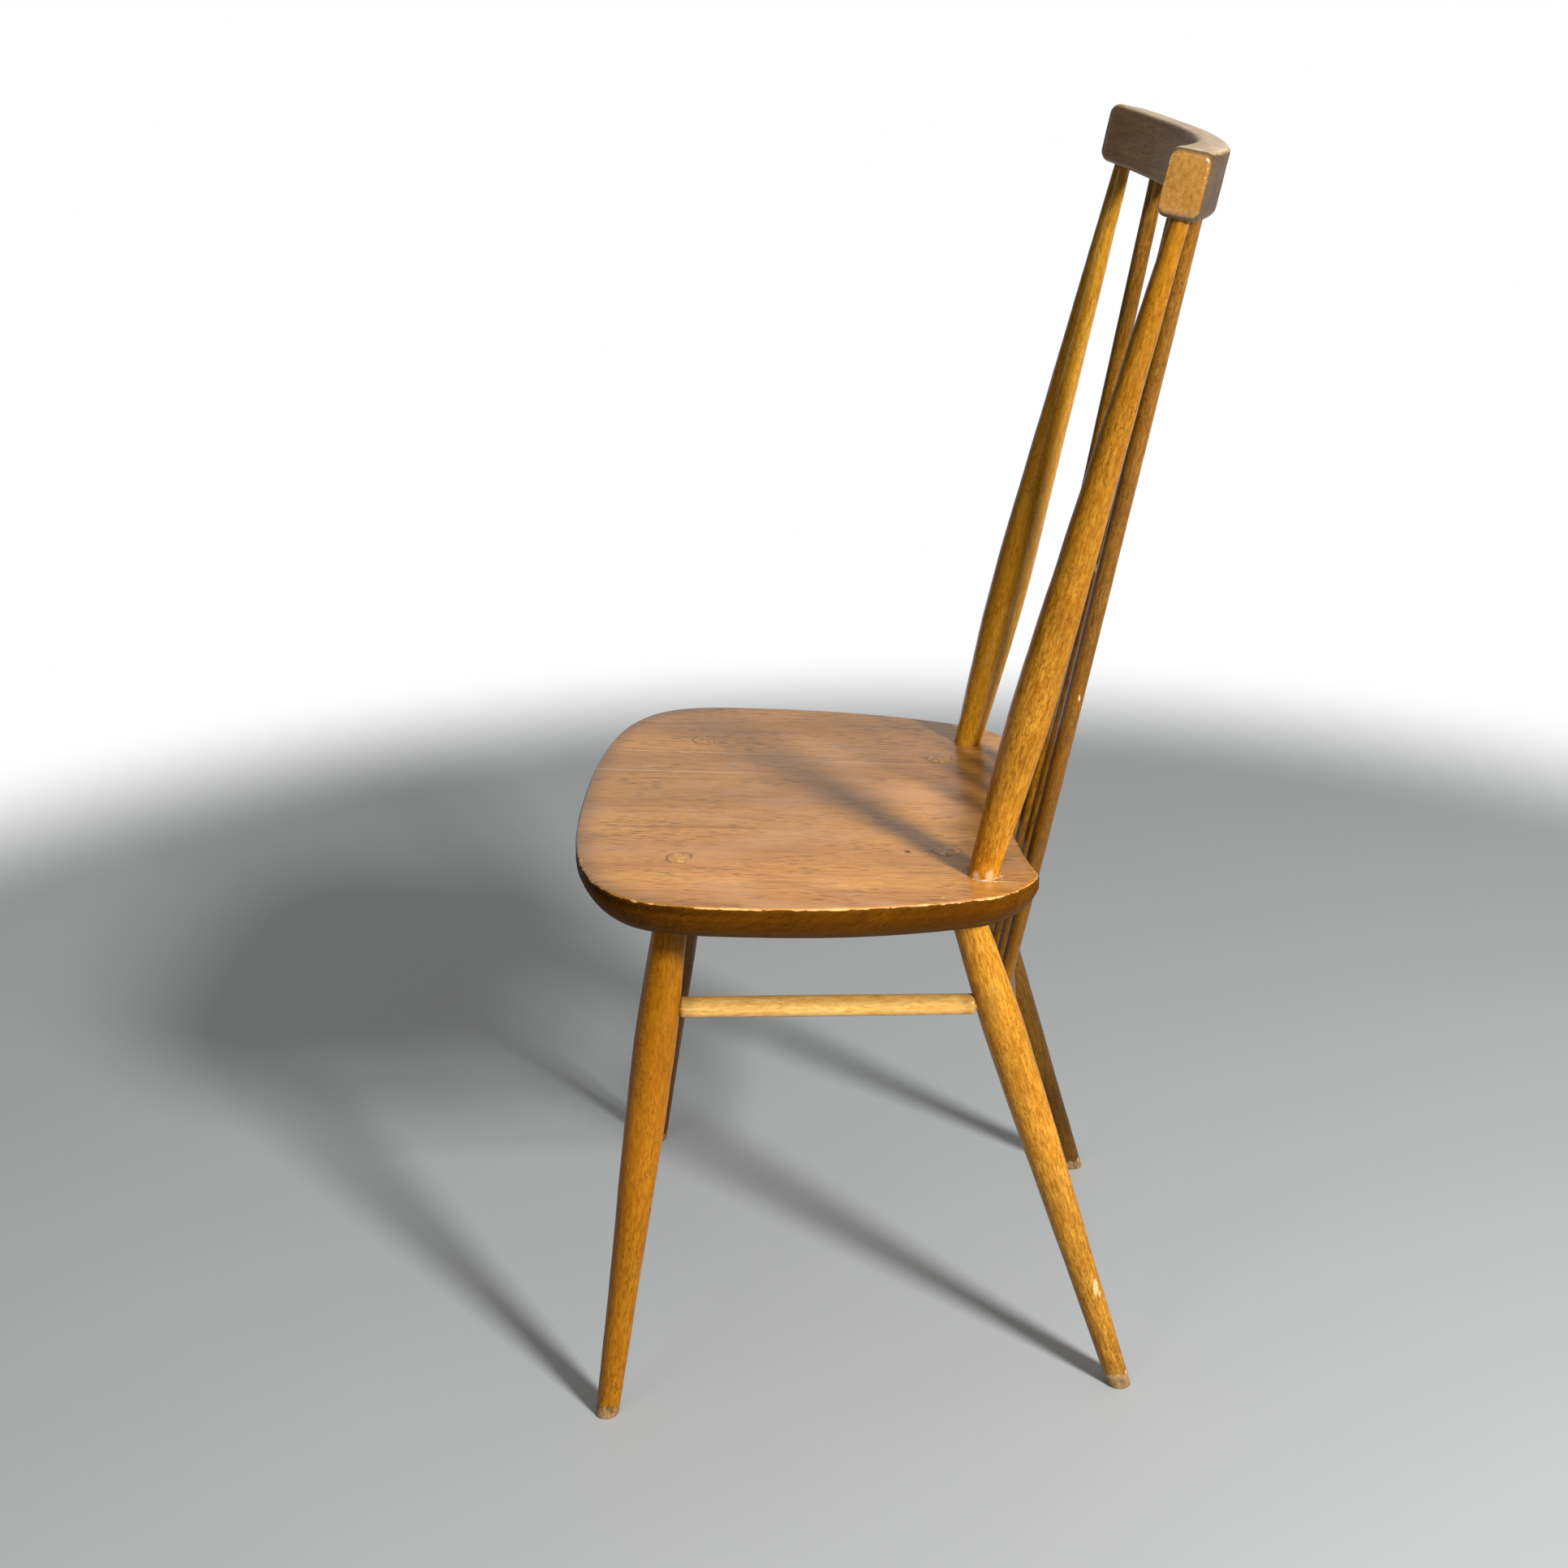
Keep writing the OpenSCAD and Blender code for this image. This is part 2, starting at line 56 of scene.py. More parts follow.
MM = 0.001
SHEEN_TINT = (1.0, 0.84, 0.62, 1.0)
LEGS = ("front_leg_left", "front_leg_right", "rear_leg_left", "rear_leg_right")
WEDGES = ("front_wedge_left", "front_wedge_right", "rear_wedge_left", "rear_wedge_right")
POSTS = ("back_post_left", "back_post_right")
STICKS = ("back_stick_1", "back_stick_2", "back_stick_3", "back_stick_4")
STRETCHERS = ("side_stretcher_left", "side_stretcher_right", "rear_stretcher")
# shade of each leg at the floor, at 0.2 m and at 0.4 m; the near front leg's darker top is painted
# shade under the seat, and the far legs are made much darker overall
LEG_TONES = {"front_leg_left": (0.68, 0.88, 0.66), "front_leg_right": (0.3, 0.3, 0.26),
             "rear_leg_left": (0.56, 1.08, 1.14), "rear_leg_right": (0.24, 0.22, 0.24)}


# ---------- sizes, colours and light that a user may change ----------

def colour(name, description, value):
    return bpy.props.FloatVectorProperty(name=name, description=description, default=value,
                                         subtype="COLOR", size=3, min=0, max=1)


def length(name, description, value, low=0.0, high=1.0):
    return bpy.props.FloatProperty(name=name, description=description, default=value,
                                   min=low, max=high, unit="LENGTH", precision=5)


def spot(name, description, value):
    return bpy.props.FloatVectorProperty(name=name, description=description, default=value,
                                         unit="LENGTH")


def power(name, description, value):
    return bpy.props.FloatProperty(name=name, description=description, default=value, min=0,
                                   unit="POWER")


def angle(name, description, value):
    return bpy.props.FloatProperty(name=name, description=description, default=value,
                                   unit="ROTATION")


def share(name, description, value, high=1.0):
    return bpy.props.FloatProperty(name=name, description=description, default=value,
                                   min=0, max=high, subtype="FACTOR")


def count(name, description, value, low, high):
    return bpy.props.IntProperty(name=name, description=description, default=value,
                                 min=low, max=high)


class ChairMaking(bpy.types.PropertyGroup):
    """Fineness of the meshes and the small sizes that wear gives the pieces"""
    leg_sides: count("Leg sides", "Points round a leg or post", 72, 24, 128)
    leg_rings: count("Leg rings", "Rings along a leg or post", 190, 40, 400)
    stick_sides: count("Stick sides", "Points round a stick or stretcher", 40, 16, 96)
    scribe: length("Scribed shoulder", "How far a stretcher's shoulder reaches round its leg",
                   2.6 * MM)
    stick_step: length("Stick step", "Distance between rings of a stick", 2.6 * MM)
    unevenness: length("Unevenness", "Height of the waves left by turning", 0.13 * MM)
    foot_round: length("Foot rounding", "Rounding of a worn foot", 1.7 * MM)
    proud: length("Tenon height", "Height of a leg's tenon over the seat", 0.22 * MM)
    hole_gap: length("Hole gap", "Open seam round a leg's tenon", 0.22 * MM)
    seat_columns: count("Seat columns", "Points round the seat", 560, 120, 900)
    arris_wear: length("Worn arris", "Wood worn off the seat's upper arris", 0.9 * MM)
    comb_bend: length("Comb bend", "Rough radius of the comb's bend", 0.5, 0.3, 2)
    comb_round: length("Comb rounding", "Rounding of the comb's long arrises", 4.5 * MM)
    comb_corner: length("Comb corners", "Rounding of the comb's corners", 6.5 * MM)
    comb_arris: length("Comb end arris", "Rounding of the arris round an end", 1.3 * MM)


class ChairFinish(bpy.types.PropertyGroup):
    """Colours of the woods, the varnish and its wear"""
    seat_pale: colour("Seat pale", "Pale wood of the seat", (0.88, 0.4, 0.085))
    seat_deep: colour("Seat deep", "Deep brown of the seat", (0.44, 0.165, 0.02))
    seat_dark: colour("Seat pores", "Pores and flecks of the seat", (0.1, 0.035, 0.006))
    seat_rose: colour("Seat rose", "Worn, faded patches of the seat", (0.7, 0.35, 0.17))
    seat_streak: colour("Seat streaks", "Pale streaks along the grain", (0.95, 0.6, 0.3))
    nail_stain: colour("Nail stain", "Stain round the nail hole", (0.13, 0.05, 0.02))
    seat_side: colour("Seat side", "Varnished edge of the seat", (0.15, 0.05, 0.002))
    side_deep: colour("Side deep", "Deep brown of the seat's edge", (0.085, 0.026, 0.001))
    side_dark: colour("Side pores", "Pores of the seat's edge", (0.035, 0.01, 0.001))
    # bare wood of the seat's arris, partly a painted highlight along it
    side_bare: colour("Bare arris", "Bare wood of the seat's arris", (0.88, 0.5, 0.15))
    beech_pale: colour("Beech pale", "Light golden beech", (0.72, 0.33, 0.03))
    beech_deep: colour("Beech deep", "Deep amber beech", (0.36, 0.125, 0.001))
    front_leg_pale: colour("Pale front legs", "Light beech of the front legs",
                           (0.72, 0.3, 0.012))
    front_leg_deep: colour("Deep front legs", "Deep beech of the front legs",
                           (0.37, 0.12, 0.001))
    rear_leg_pale: colour("Pale rear legs", "Light beech of the rear legs",
                          (0.76, 0.365, 0.045))
    rear_leg_deep: colour("Deep rear legs", "Deep beech of the rear legs",
                          (0.38, 0.14, 0.006))
    far_post_pale: colour("Pale right post", "Light olive beech of the right post",
                          (0.66, 0.325, 0.03))
    far_post_deep: colour("Deep right post", "Deep olive beech of the right post",
                          (0.34, 0.142, 0.002))
    # the stretchers' colours are made paler to carry part of their painted highlight
    rail_pale: colour("Pale rails", "Palest beech of the stretchers", (0.93, 0.6, 0.19))
    rail_deep: colour("Deep rails", "Deepest beech of the stretchers", (0.68, 0.34, 0.07))
    beech_dark: colour("Beech dark", "Flecks and stains of the beech", (0.13, 0.036, 0.001))
    comb_pale: colour("Comb pale", "Pale wood of the comb", (0.38, 0.215, 0.095))
    comb_deep: colour("Comb deep", "Brown of the comb", (0.2, 0.105, 0.04))
    comb_dark: colour("Comb pores", "Pores and flecks of the comb", (0.05, 0.022, 0.006))
    # also the pale rim round the comb's end, partly a painted highlight
    comb_bare: colour("Bare comb", "Bare wood of the comb's arrises", (0.6, 0.36, 0.13))
    comb_end: colour("Comb end", "End grain of the comb", (0.35, 0.17, 0.038))
    comb_end_deep: colour("Comb end deep", "Deep lines of that end grain", (0.22, 0.092, 0.013))
    # the comb top's colours: partly faded wood, partly painted light from above
    comb_top: colour("Comb top", "Pale top of the comb", (0.74, 0.58, 0.38))
    comb_top_deep: colour("Comb top deep", "Deeper bands of that top", (0.54, 0.36, 0.19))
    end_pores: colour("End pores", "Pores in the tenons' end grain", (0.12, 0.045, 0.012))
    bare: colour("Bare wood", "Wood with its varnish worn off", (0.76, 0.46, 0.2))
    grime: colour("Grime", "Dirt in seams and on feet", (0.1, 0.065, 0.03))
    # this colour also paints the shadow of the seat's back edge on the sticks
    glue: colour("Old glue", "Dried glue round a post", (0.8, 0.7, 0.52))
    glue_brown: colour("Brown glue", "Dirty patches of the glue", (0.42, 0.24, 0.09))
    wear: share("Wear", "How far the varnish is worn", 1.0, 2.0)


class StudioStage(bpy.types.PropertyGroup):
    """Lamps, floor and camera"""
    key_power: power("Key lamp", "Power of the key lamp", 120)
    key_size: length("Key size", "Width of the key lamp", 0.5, 0.05, 4)
    key_place: spot("Key place", "Place of the key lamp", (2.03, 1.67, 1.85))
    fill_power: power("Fill lamp", "Power of the fill lamp", 6)
    fill_size: length("Fill size", "Width of the fill lamp", 1.0, 0.05, 4)
    fill_place: spot("Fill place", "Place of the fill lamp", (2.2, -1.5, 1.6))
    lamp_aim: spot("Lamps' aim", "Point that the lamps face", (0, 0, 0.45))
    room_light: share("Room light", "Light from above and all round", 0.3)
    wall_glow: share("Wall glow", "Brightness of the wall that the varnish reflects", 0.46)
    dark_glow: share("Room glow", "Brightness that the varnish reflects elsewhere", 0.05)
    floor_colour: colour("Floor", "Colour of the floor", (0.5, 0.515, 0.515))
    floor_reach: length("Floor reach", "Distance at which the floor turns white", 1.75, 0.5, 20)
    lens: bpy.props.FloatProperty(name="Lens", description="Focal length of the camera in mm",
                                  default=51.03, min=10, max=300)
    eye: spot("Eye", "Place of the camera", (1.643242, -0.00743, 1.07))
    heading: angle("Heading", "Turn of the camera", -0.0437574354)
    dip: angle("Dip", "Downward tilt of the camera", 0.364642646)
    cant: angle("Cant", "Sideways tilt of the camera", -0.0156281580)


# ---------- measuring the frame's pieces ----------

def cad_faces(node):
    """Corners of a CAD node's triangles, one row each"""
    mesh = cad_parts[node].data
    mesh.calc_loop_triangles()
    corners = np.empty(len(mesh.vertices) * 3, np.float32)
    mesh.vertices.foreach_get("co", corners)
    index = np.empty(len(mesh.loop_triangles) * 3, np.int32)
    mesh.loop_triangles.foreach_get("vertices", index)
    return corners.reshape(-1, 3).astype(float)[index.reshape(-1, 3)]


def flat_face(node, towards):
    """Middle and outward normal of a CAD node's widest flat face that looks a given way"""
    faces = cad_faces(node)
    normals = np.cross(faces[:, 1] - faces[:, 0], faces[:, 2] - faces[:, 0])
    areas = np.linalg.norm(normals, axis=1)
    kept = areas > 1e-12
    faces, normals, areas = faces[kept], normals[kept] / areas[kept, None], areas[kept]
    kept = normals @ np.array(towards, float) > 0.9
    faces, normals, areas = faces[kept], normals[kept], areas[kept]
    offsets = (faces.mean(1) * normals).sum(1)
    keys = np.round(np.column_stack([normals * 500, offsets * 2000])).astype(int)
    _, group = np.unique(keys, axis=0, return_inverse=True)
    group = group.ravel()
    widest = group == np.bincount(group, areas).argmax()
    weights = areas[widest, None]
    normal = (normals[widest] * weights).sum(0)
    middle = (faces[widest].mean(1) * weights).sum(0) / weights.sum()
    return middle, normal / np.linalg.norm(normal)


def cut_points(faces, point, normal):
    """Points where a plane crosses the edges of triangles"""
    heights = (faces - point) @ normal
    found = []
    for a, b in ((0, 1), (1, 2), (2, 0)):
        crossed = heights[:, a] * heights[:, b] < 0
        low, high = heights[crossed, a], heights[crossed, b]
        part = (low / (low - high))[:, None]
        found.append(faces[crossed, a] + part * (faces[crossed, b] - faces[crossed, a]))
    return np.concatenate(found)


def across(direction):
    """Two unit vectors square to a direction and to each other"""
    side = np.cross(direction, (0.0, 1.0, 0.0))
    side /= np.linalg.norm(side)
    return side, np.cross(direction, side)


def middle_line(node, rough):
    """A point on a turned piece's middle line and the line's direction"""
    faces = cad_faces(node)
    corners = faces.reshape(-1, 3)
    point = corners.mean(0)
    direction = np.array(rough, float) / np.linalg.norm(rough)
    for _ in range(3):
        reach = (corners - point) @ direction
        low, high = reach.min(), reach.max()
        side, front = across(direction)
        middles = []
        for s in np.linspace(low + 0.15 * (high - low), high - 0.15 * (high - low), 41):
            cut = cut_points(faces, point + s * direction, direction) - point
            u, v = cut @ side, cut @ front
            middles.append(point + s * direction + (u.min() + u.max()) / 2 * side
                           + (v.min() + v.max()) / 2 * front)
        middles = np.array(middles)
        for _ in range(2):
            point = middles.mean(0)
            direction = np.linalg.svd(middles - point)[2][0]
            away = np.linalg.norm(np.cross(middles - point, direction), axis=1)
            middles = middles[away <= np.quantile(away, 0.75)]
        if direction @ rough < 0:
            direction = -direction
    return point, direction


def radius_along(node, line, places):
    """Radius of a turned piece at distances along its middle line"""
    point, direction = line
    faces = cad_faces(node)
    found = []
    for s in places:
        cut = cut_points(faces, point + s * direction, direction) - point
        away = np.linalg.norm(cut - np.outer(cut @ direction, direction), axis=1)
        found.append(np.quantile(away, 0.9) if len(away) else 0)
    return np.array(found)


def typical_radius(node, line, places):
    return float(np.median(radius_along(node, line, places)))


def steadied(radii):
    """Radii along a piece with single odd values taken out"""
    for k in range(2, len(radii) - 2):
        radii[k] = np.median(radii[k - 2:k + 3])
    return radii


def crossing(line, plane):
    """Distance along a line at which it meets a plane"""
    return (plane[0] - line[0]) @ plane[1] / (line[1] @ plane[1])


def meeting(line, plane):
    """Point at which a line meets a plane"""
    return line[0] + crossing(line, plane) * line[1]


def circle_round(direction, sides):
    """Angles round a direction and the unit vectors at them"""
    side, front = across(direction)
    turn = 2 * math.pi * np.arange(sides) / sides
    return turn, np.outer(np.cos(turn), side) + np.outer(np.sin(turn), front)


# ---------- wear that is worked into the meshes ----------

def waves(points, size, height, seed):
    """Gentle unevenness: a sum of waves in all directions"""
    draw = np.random.default_rng(seed)
    total = np.zeros(len(points))
    for _ in range(9):
        way = draw.normal(size=3)
        way *= 2 * math.pi / (np.linalg.norm(way) * size * draw.uniform(0.6, 1.7))
        total += np.sin(points @ way + draw.uniform(0, 2 * math.pi))
    return height * total / 3


def knocks(points, seed, number, sizes, depths):
    """Depth of a number of round dents at random points of a surface, sizes in mm"""
    draw = np.random.default_rng(seed)
    places = points[draw.integers(0, len(points), number)]
    sizes = draw.uniform(*sizes, number) * MM
    depths = draw.uniform(*depths, number) * MM
    total = np.zeros(len(points))
    for place, size, depth in zip(places, sizes, depths):
        near = ((points - place) ** 2).sum(1) / size ** 2
        total += depth * np.exp(-near * near)
    return total


def step(value, low, high):
    """Smooth rise from nothing to one between two values"""
    t = np.clip((value - low) / (high - low), 0, 1)
    return t * t * (3 - 2 * t)


def bell(value, middle, width):
    """One at a middle value, falling away on both sides of it"""
    return np.exp(-((value - middle) / width) ** 2)


def spline(a, b, c, d, t):
    """Smooth curve from b to c that also follows the points before and after them"""
    return 0.5 * (2 * b + (c - a) * t + (2 * a - 5 * b + 4 * c - d) * t * t
                  + (3 * b - a - 3 * c + d) * t ** 3)


# ---------- meshes ----------

def ring_mesh(name, rings):
    """Closed mesh through rings of points, with both ends closed on a middle point"""
    rings = np.asarray(rings)
    rows, sides = rings.shape[:2]
    points = np.concatenate([rings.reshape(-1, 3), [rings[0].mean(0)], [rings[-1].mean(0)]])
    faces = []
    for row in range(rows - 1):
        for k in range(sides):
            a, b = row * sides + k, row * sides + (k + 1) % sides
            faces.append((a, b, b + sides, a + sides))
    first, last, top = rows * sides, rows * sides + 1, (rows - 1) * sides
    for k in range(sides):
        after = (k + 1) % sides
        faces.append((after, k, first))
        faces.append((top + k, top + after, last))
    mesh = bpy.data.meshes.new(name)
    mesh.from_pydata(points.tolist(), [], faces)
    return mesh


def placed(name, data):
    """Object for a mesh, lamp or camera, in the scene"""
    made = bpy.data.objects.new(name, data)
    bpy.context.scene.collection.objects.link(made)
    return made


def piece(name, mesh, materials, sharp=40):
    """Object for a finished mesh, with outward faces and smooth shading up to an angle"""
    work = bmesh.new()
    work.from_mesh(mesh)
    bmesh.ops.remove_doubles(work, verts=work.verts, dist=1e-7)
    bmesh.ops.recalc_face_normals(work, faces=work.faces)
    for face in work.faces:
        face.smooth = True
    work.to_mesh(mesh)
    work.free()
    mesh.set_sharp_from_angle(angle=math.radians(sharp))
    mesh.materials.clear()
    for material in materials:
        mesh.materials.append(material)
    return placed(name, mesh)


def points_of(made):
    points = np.empty(len(made.data.vertices) * 3, np.float32)
    made.data.vertices.foreach_get("co", points)
    return points.reshape(-1, 3).astype(float)


def baked(made, name):
    """Mesh that an object's modifiers make; the object itself is removed"""
    bpy.context.view_layer.update()
    done = bpy.data.meshes.new_from_object(
        made.evaluated_get(bpy.context.evaluated_depsgraph_get()))
    bpy.data.objects.remove(made)
    done.name = name
    return done


def drop_attributes(mesh, start):
    """Removes a mesh's attributes whose names start a given way"""
    for name in [layer.name for layer in mesh.attributes if layer.name.startswith(start)]:
        mesh.attributes.remove(mesh.attributes[name])


def note(made, name, values):
    """Stores a value or a vector for each point of a piece"""
    values = np.asarray(values, np.float32)
    kind = "FLOAT_VECTOR" if values.ndim == 2 else "FLOAT"
    layer = made.data.attributes.new(name, kind, "POINT")
    layer.data.foreach_set("vector" if values.ndim == 2 else "value", values.ravel())


def note_marks(made, tone, wear, grime, **others):
    """Stores a piece's shade, with painted light and shade on some pieces, and its shares of bare
    wood, of dirt with some painted shade, and of other marks
    """
    note(made, "tone", tone)
    for name, values in {"wear": wear, "grime": grime, **others}.items():
        note(made, name, np.clip(values, 0, 1))


def note_grain(made, point, axes, number):
    """Stores places in the wood: across the grain in x and y, along it in z"""
    from_point = points_of(made) - point
    shift = np.array([0.37, 0.61, 0.83]) * (number + 1)
    note(made, "wood", np.column_stack([from_point @ axis for axis in axes]) + shift)


def note_bar_grain(made, line, number):
    """Stores places in the wood of a turned piece, with its grain along its middle line"""
    note_grain(made, line[0], (*across(line[1]), line[1]), number)


def hand_over(made, nodes):
    """Puts a piece on the frame in place of its CAD nodes"""
    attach(made, "root")
    if nodes:
        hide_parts(*nodes)


# ---------- node trees ----------

class Tree:
    """Short calls for building a node tree"""

    def __init__(self, tree):
        self.tree = tree
        self.readers = {}

    def add(self, kind, values=None, **settings):
        node = self.tree.nodes.new(kind)
        for key, value in settings.items():
            setattr(node, key, value)
        for key, value in (values or {}).items():
            if isinstance(value, bpy.types.NodeSocket):
                self.link(value, node.inputs[key])
            else:
                node.inputs[key].default_value = value
        return node

    def first(self, kind, values=None, **settings):
        return self.add(kind, values, **settings).outputs[0]

    def sum(self, operation, a, b=0.0, c=0.0, clamp=False):
        return self.first("ShaderNodeMath", {0: a, 1: b, 2: c}, operation=operation,
                          use_clamp=clamp)

    def times(self, a, b):
        return self.sum("MULTIPLY", a, b)

    def plus(self, a, b):
        return self.sum("ADD", a, b)

    def around_zero(self, value, size):
        """A noise's value moved to lie evenly about zero, and scaled"""
        return self.times(self.plus(value, -0.5), size)

    def vectors(self, operation, a, b):
        return self.first("ShaderNodeVectorMath", {0: a, 1: b}, operation=operation)

    def scaled(self, vector, size):
        return self.first("ShaderNodeVectorMath", {0: vector, "Scale": size},
                          operation="SCALE")

    def distance(self, vector):
        return self.add("ShaderNodeVectorMath", {0: vector},
                        operation="LENGTH").outputs["Value"]

    def mix(self, amount, a, b):
        return self.add("ShaderNodeMix", {0: amount, 6: a, 7: b}, data_type="RGBA",
                        clamp_factor=True).outputs[2]

    def step(self, value, low, high, to_low=0.0, to_high=1.0):
        return self.first("ShaderNodeMapRange", {0: value, 1: low, 2: high, 3: to_low,
                                                 4: to_high}, interpolation_type="SMOOTHSTEP")

    def stretch(self, vector, scale, turn=(0, 0, 0)):
        return self.first("ShaderNodeMapping", {"Vector": vector, "Scale": scale,
                                                "Rotation": turn})

    def noise(self, vector, scale=1.0, detail=2.0, rough=0.5, twist=0.0):
        return self.first("ShaderNodeTexNoise", {
            "Vector": vector, "Scale": scale, "Detail": detail, "Roughness": rough,
            "Distortion": twist})

    def cells(self, vector, scale=1.0):
        return self.add("ShaderNodeTexVoronoi", {"Vector": vector,
                                                 "Scale": scale}).outputs["Distance"]

    def reader(self, kind, **settings):
        """Node that reads something of the piece, made once in a tree"""
        key = (kind, *settings.values())
        if key not in self.readers:
            self.readers[key] = self.add(kind, **settings)
        return self.readers[key].outputs

    def attribute(self, name, output="Fac"):
        return self.reader("ShaderNodeAttribute", attribute_name=name)[output]

    def place(self):
        return self.reader("ShaderNodeTexCoord")["Object"]

    def link(self, a, b):
        self.tree.links.new(a, b)

    def give(self, sockets, values):
        """Links values to a group's outputs by name"""
        for label, value in values.items():
            self.link(value, sockets[label])
        return self.tree


SOCKETS = {"value": "NodeSocketFloat", "vector": "NodeSocketVector", "colour": "NodeSocketColor",
           "count": "NodeSocketInt", "shape": "NodeSocketGeometry",
           "material": "NodeSocketMaterial"}


def new_group(maker, kind, inputs, outputs):
    """A node group with named sockets; returns its short calls, its inputs and its output node"""
    tree = bpy.data.node_groups.new(maker.__name__, kind)
    for way, sockets in (("INPUT", inputs), ("OUTPUT", outputs)):
        for label, sort in sockets.items():
            tree.interface.new_socket(label, in_out=way, socket_type=SOCKETS[sort])
    t = Tree(tree)
    return t, t.add("NodeGroupInput").outputs, t.add("NodeGroupOutput").inputs


def shared(maker):
    """The node group that a function makes, made once"""
    return bpy.data.node_groups.get(maker.__name__) or maker()


def use(t, maker, values):
    """Places a shared group in a material with its own values"""
    return t.add("ShaderNodeGroup", values, node_tree=shared(maker)).outputs


WHITE = (1.0, 1.0, 1.0)


def paint(values):
    """A colour as a shader's socket takes it"""
    return (*values, 1.0)


def wood_figure():
    """Figure of a piece of wood: rings, streaks, fibres, flecks and stains along its grain"""
    t, take, give = new_group(wood_figure, "ShaderNodeTree", {
        "Wood": "vector", "Pale": "colour", "Deep": "colour", "Dark": "colour",
        "Bands": "value", "Streaks": "value", "Mottle": "value", "Stains": "value",
        "Flecks": "value", "Fleck Size": "vector"},
        {"Colour": "colour", "Fibres": "value", "Flecks": "value"})
    wood = take["Wood"]
    bands = t.noise(t.stretch(wood, (14, 14, 1.7)), detail=3, twist=0.5)
    streaks = t.noise(t.stretch(wood, (150, 150, 10)), detail=5, rough=0.62)
    fibres = t.noise(t.stretch(wood, (520, 520, 34)), detail=3, rough=0.65)
    stains = t.noise(t.stretch(wood, (46, 46, 17)), detail=4, rough=0.6)
    mottle = t.noise(t.stretch(wood, (500, 500, 115)), detail=4, rough=0.68)
    cells = t.cells(t.vectors("MULTIPLY", wood, take["Fleck Size"]))
    where = t.step(t.noise(t.stretch(wood, (60, 60, 30)), detail=2), 0.38, 0.62)
    flecks = t.times(t.step(cells, 0.16, 0.4, 1.0, 0.0), t.plus(t.times(where, 0.75), 0.25))
    base = take["Pale"]
    for value, low, high, amount, towards in (
            (bands, 0.34, 0.66, take["Bands"], "Deep"),
            (streaks, 0.46, 0.74, take["Streaks"], "Deep"),
            (streaks, 0.54, 0.72, t.times(take["Streaks"], 0.5), "Dark"),
            (mottle, 0.36, 0.64, take["Mottle"], "Deep"),
            (mottle, 0.56, 0.74, t.times(take["Mottle"], 0.4), "Dark")):
        base = t.mix(t.times(t.step(value, low, high), amount), base, take[towards])
    base = t.mix(t.step(fibres, 0.4, 0.68, 0.0, 0.55), base, take["Deep"])
    base = t.mix(t.times(t.step(stains, 0.5, 0.76), take["Stains"]), base, take["Dark"])
    base = t.mix(t.times(flecks, take["Flecks"]), base, take["Dark"])
    return t.give(give, {"Colour": base, "Fibres": fibres, "Flecks": flecks})


def worn_varnish():
    """Varnish over a coloured wood: scuffs, scratches and places where it is worn through"""
    t, take, give = new_group(worn_varnish, "ShaderNodeTree", {
        "Wood": "vector", "Colour": "colour", "Bare": "colour", "Wear": "value",
        "Scuffs": "value", "Roughness": "value"},
        {"Colour": "colour", "Roughness": "value", "Coat": "value", "Height": "value",
         "Worn": "value"})
    wood = take["Wood"]
    ragged = t.noise(t.stretch(wood, (210, 210, 70)), detail=5, rough=0.72)
    worn = t.step(t.plus(take["Wear"], t.around_zero(ragged, 1.1)), 0.44, 0.6)
    one = t.step(t.noise(t.stretch(wood, (1500, 700, 26), (0.1, 0.0, 0.5)), detail=2), 0.66, 0.72)
    two = t.step(t.noise(t.stretch(wood, (34, 900, 1300), (0.2, 0.7, 0.3)), detail=2), 0.68, 0.74)
    patch = t.step(t.noise(t.stretch(wood, (24, 24, 18)), detail=3), 0.48, 0.68)
    scratches = t.times(t.times(t.sum("MAXIMUM", one, two), patch), take["Scuffs"])
    coloured = t.mix(t.times(scratches, 0.45), take["Colour"], take["Bare"])
    coloured = t.mix(worn, coloured, take["Bare"])
    cloudy = t.noise(t.stretch(wood, (38, 38, 22)), detail=4, rough=0.6)
    rough = t.plus(take["Roughness"], t.around_zero(cloudy, 0.3))
    rough = t.plus(t.plus(rough, t.times(worn, 0.28)), t.times(scratches, 0.25))
    height = t.plus(t.times(ragged, 0.25), t.times(worn, -0.6))
    return t.give(give, {
        "Colour": coloured, "Worn": worn,
        "Roughness": t.sum("MINIMUM", t.sum("MAXIMUM", rough, 0.12), 0.9),
        "Coat": t.sum("SUBTRACT", 1.0, worn, clamp=True),
        "Height": t.sum("SUBTRACT", height, t.times(scratches, 0.5))})


def gathered_grime():
    """Dirt in seams and on feet, darkening under edges, and the painted shadow of the seat's back
    edge on the sticks
    """
    t, take, give = new_group(gathered_grime, "ShaderNodeTree", {
        "Wood": "vector", "Colour": "colour", "Grime Colour": "colour", "Grime": "value"},
        {"Colour": "colour", "Mask": "value"})
    cloud = t.noise(t.stretch(take["Wood"], (170, 170, 110)), detail=5, rough=0.7)
    mask = t.times(t.step(t.plus(take["Grime"], t.around_zero(cloud, 0.9)), 0.25, 0.95), 0.88)
    dirty = t.mix(mask, take["Colour"], take["Grime Colour"])
    return t.give(give, {"Colour": dirty, "Mask": mask})


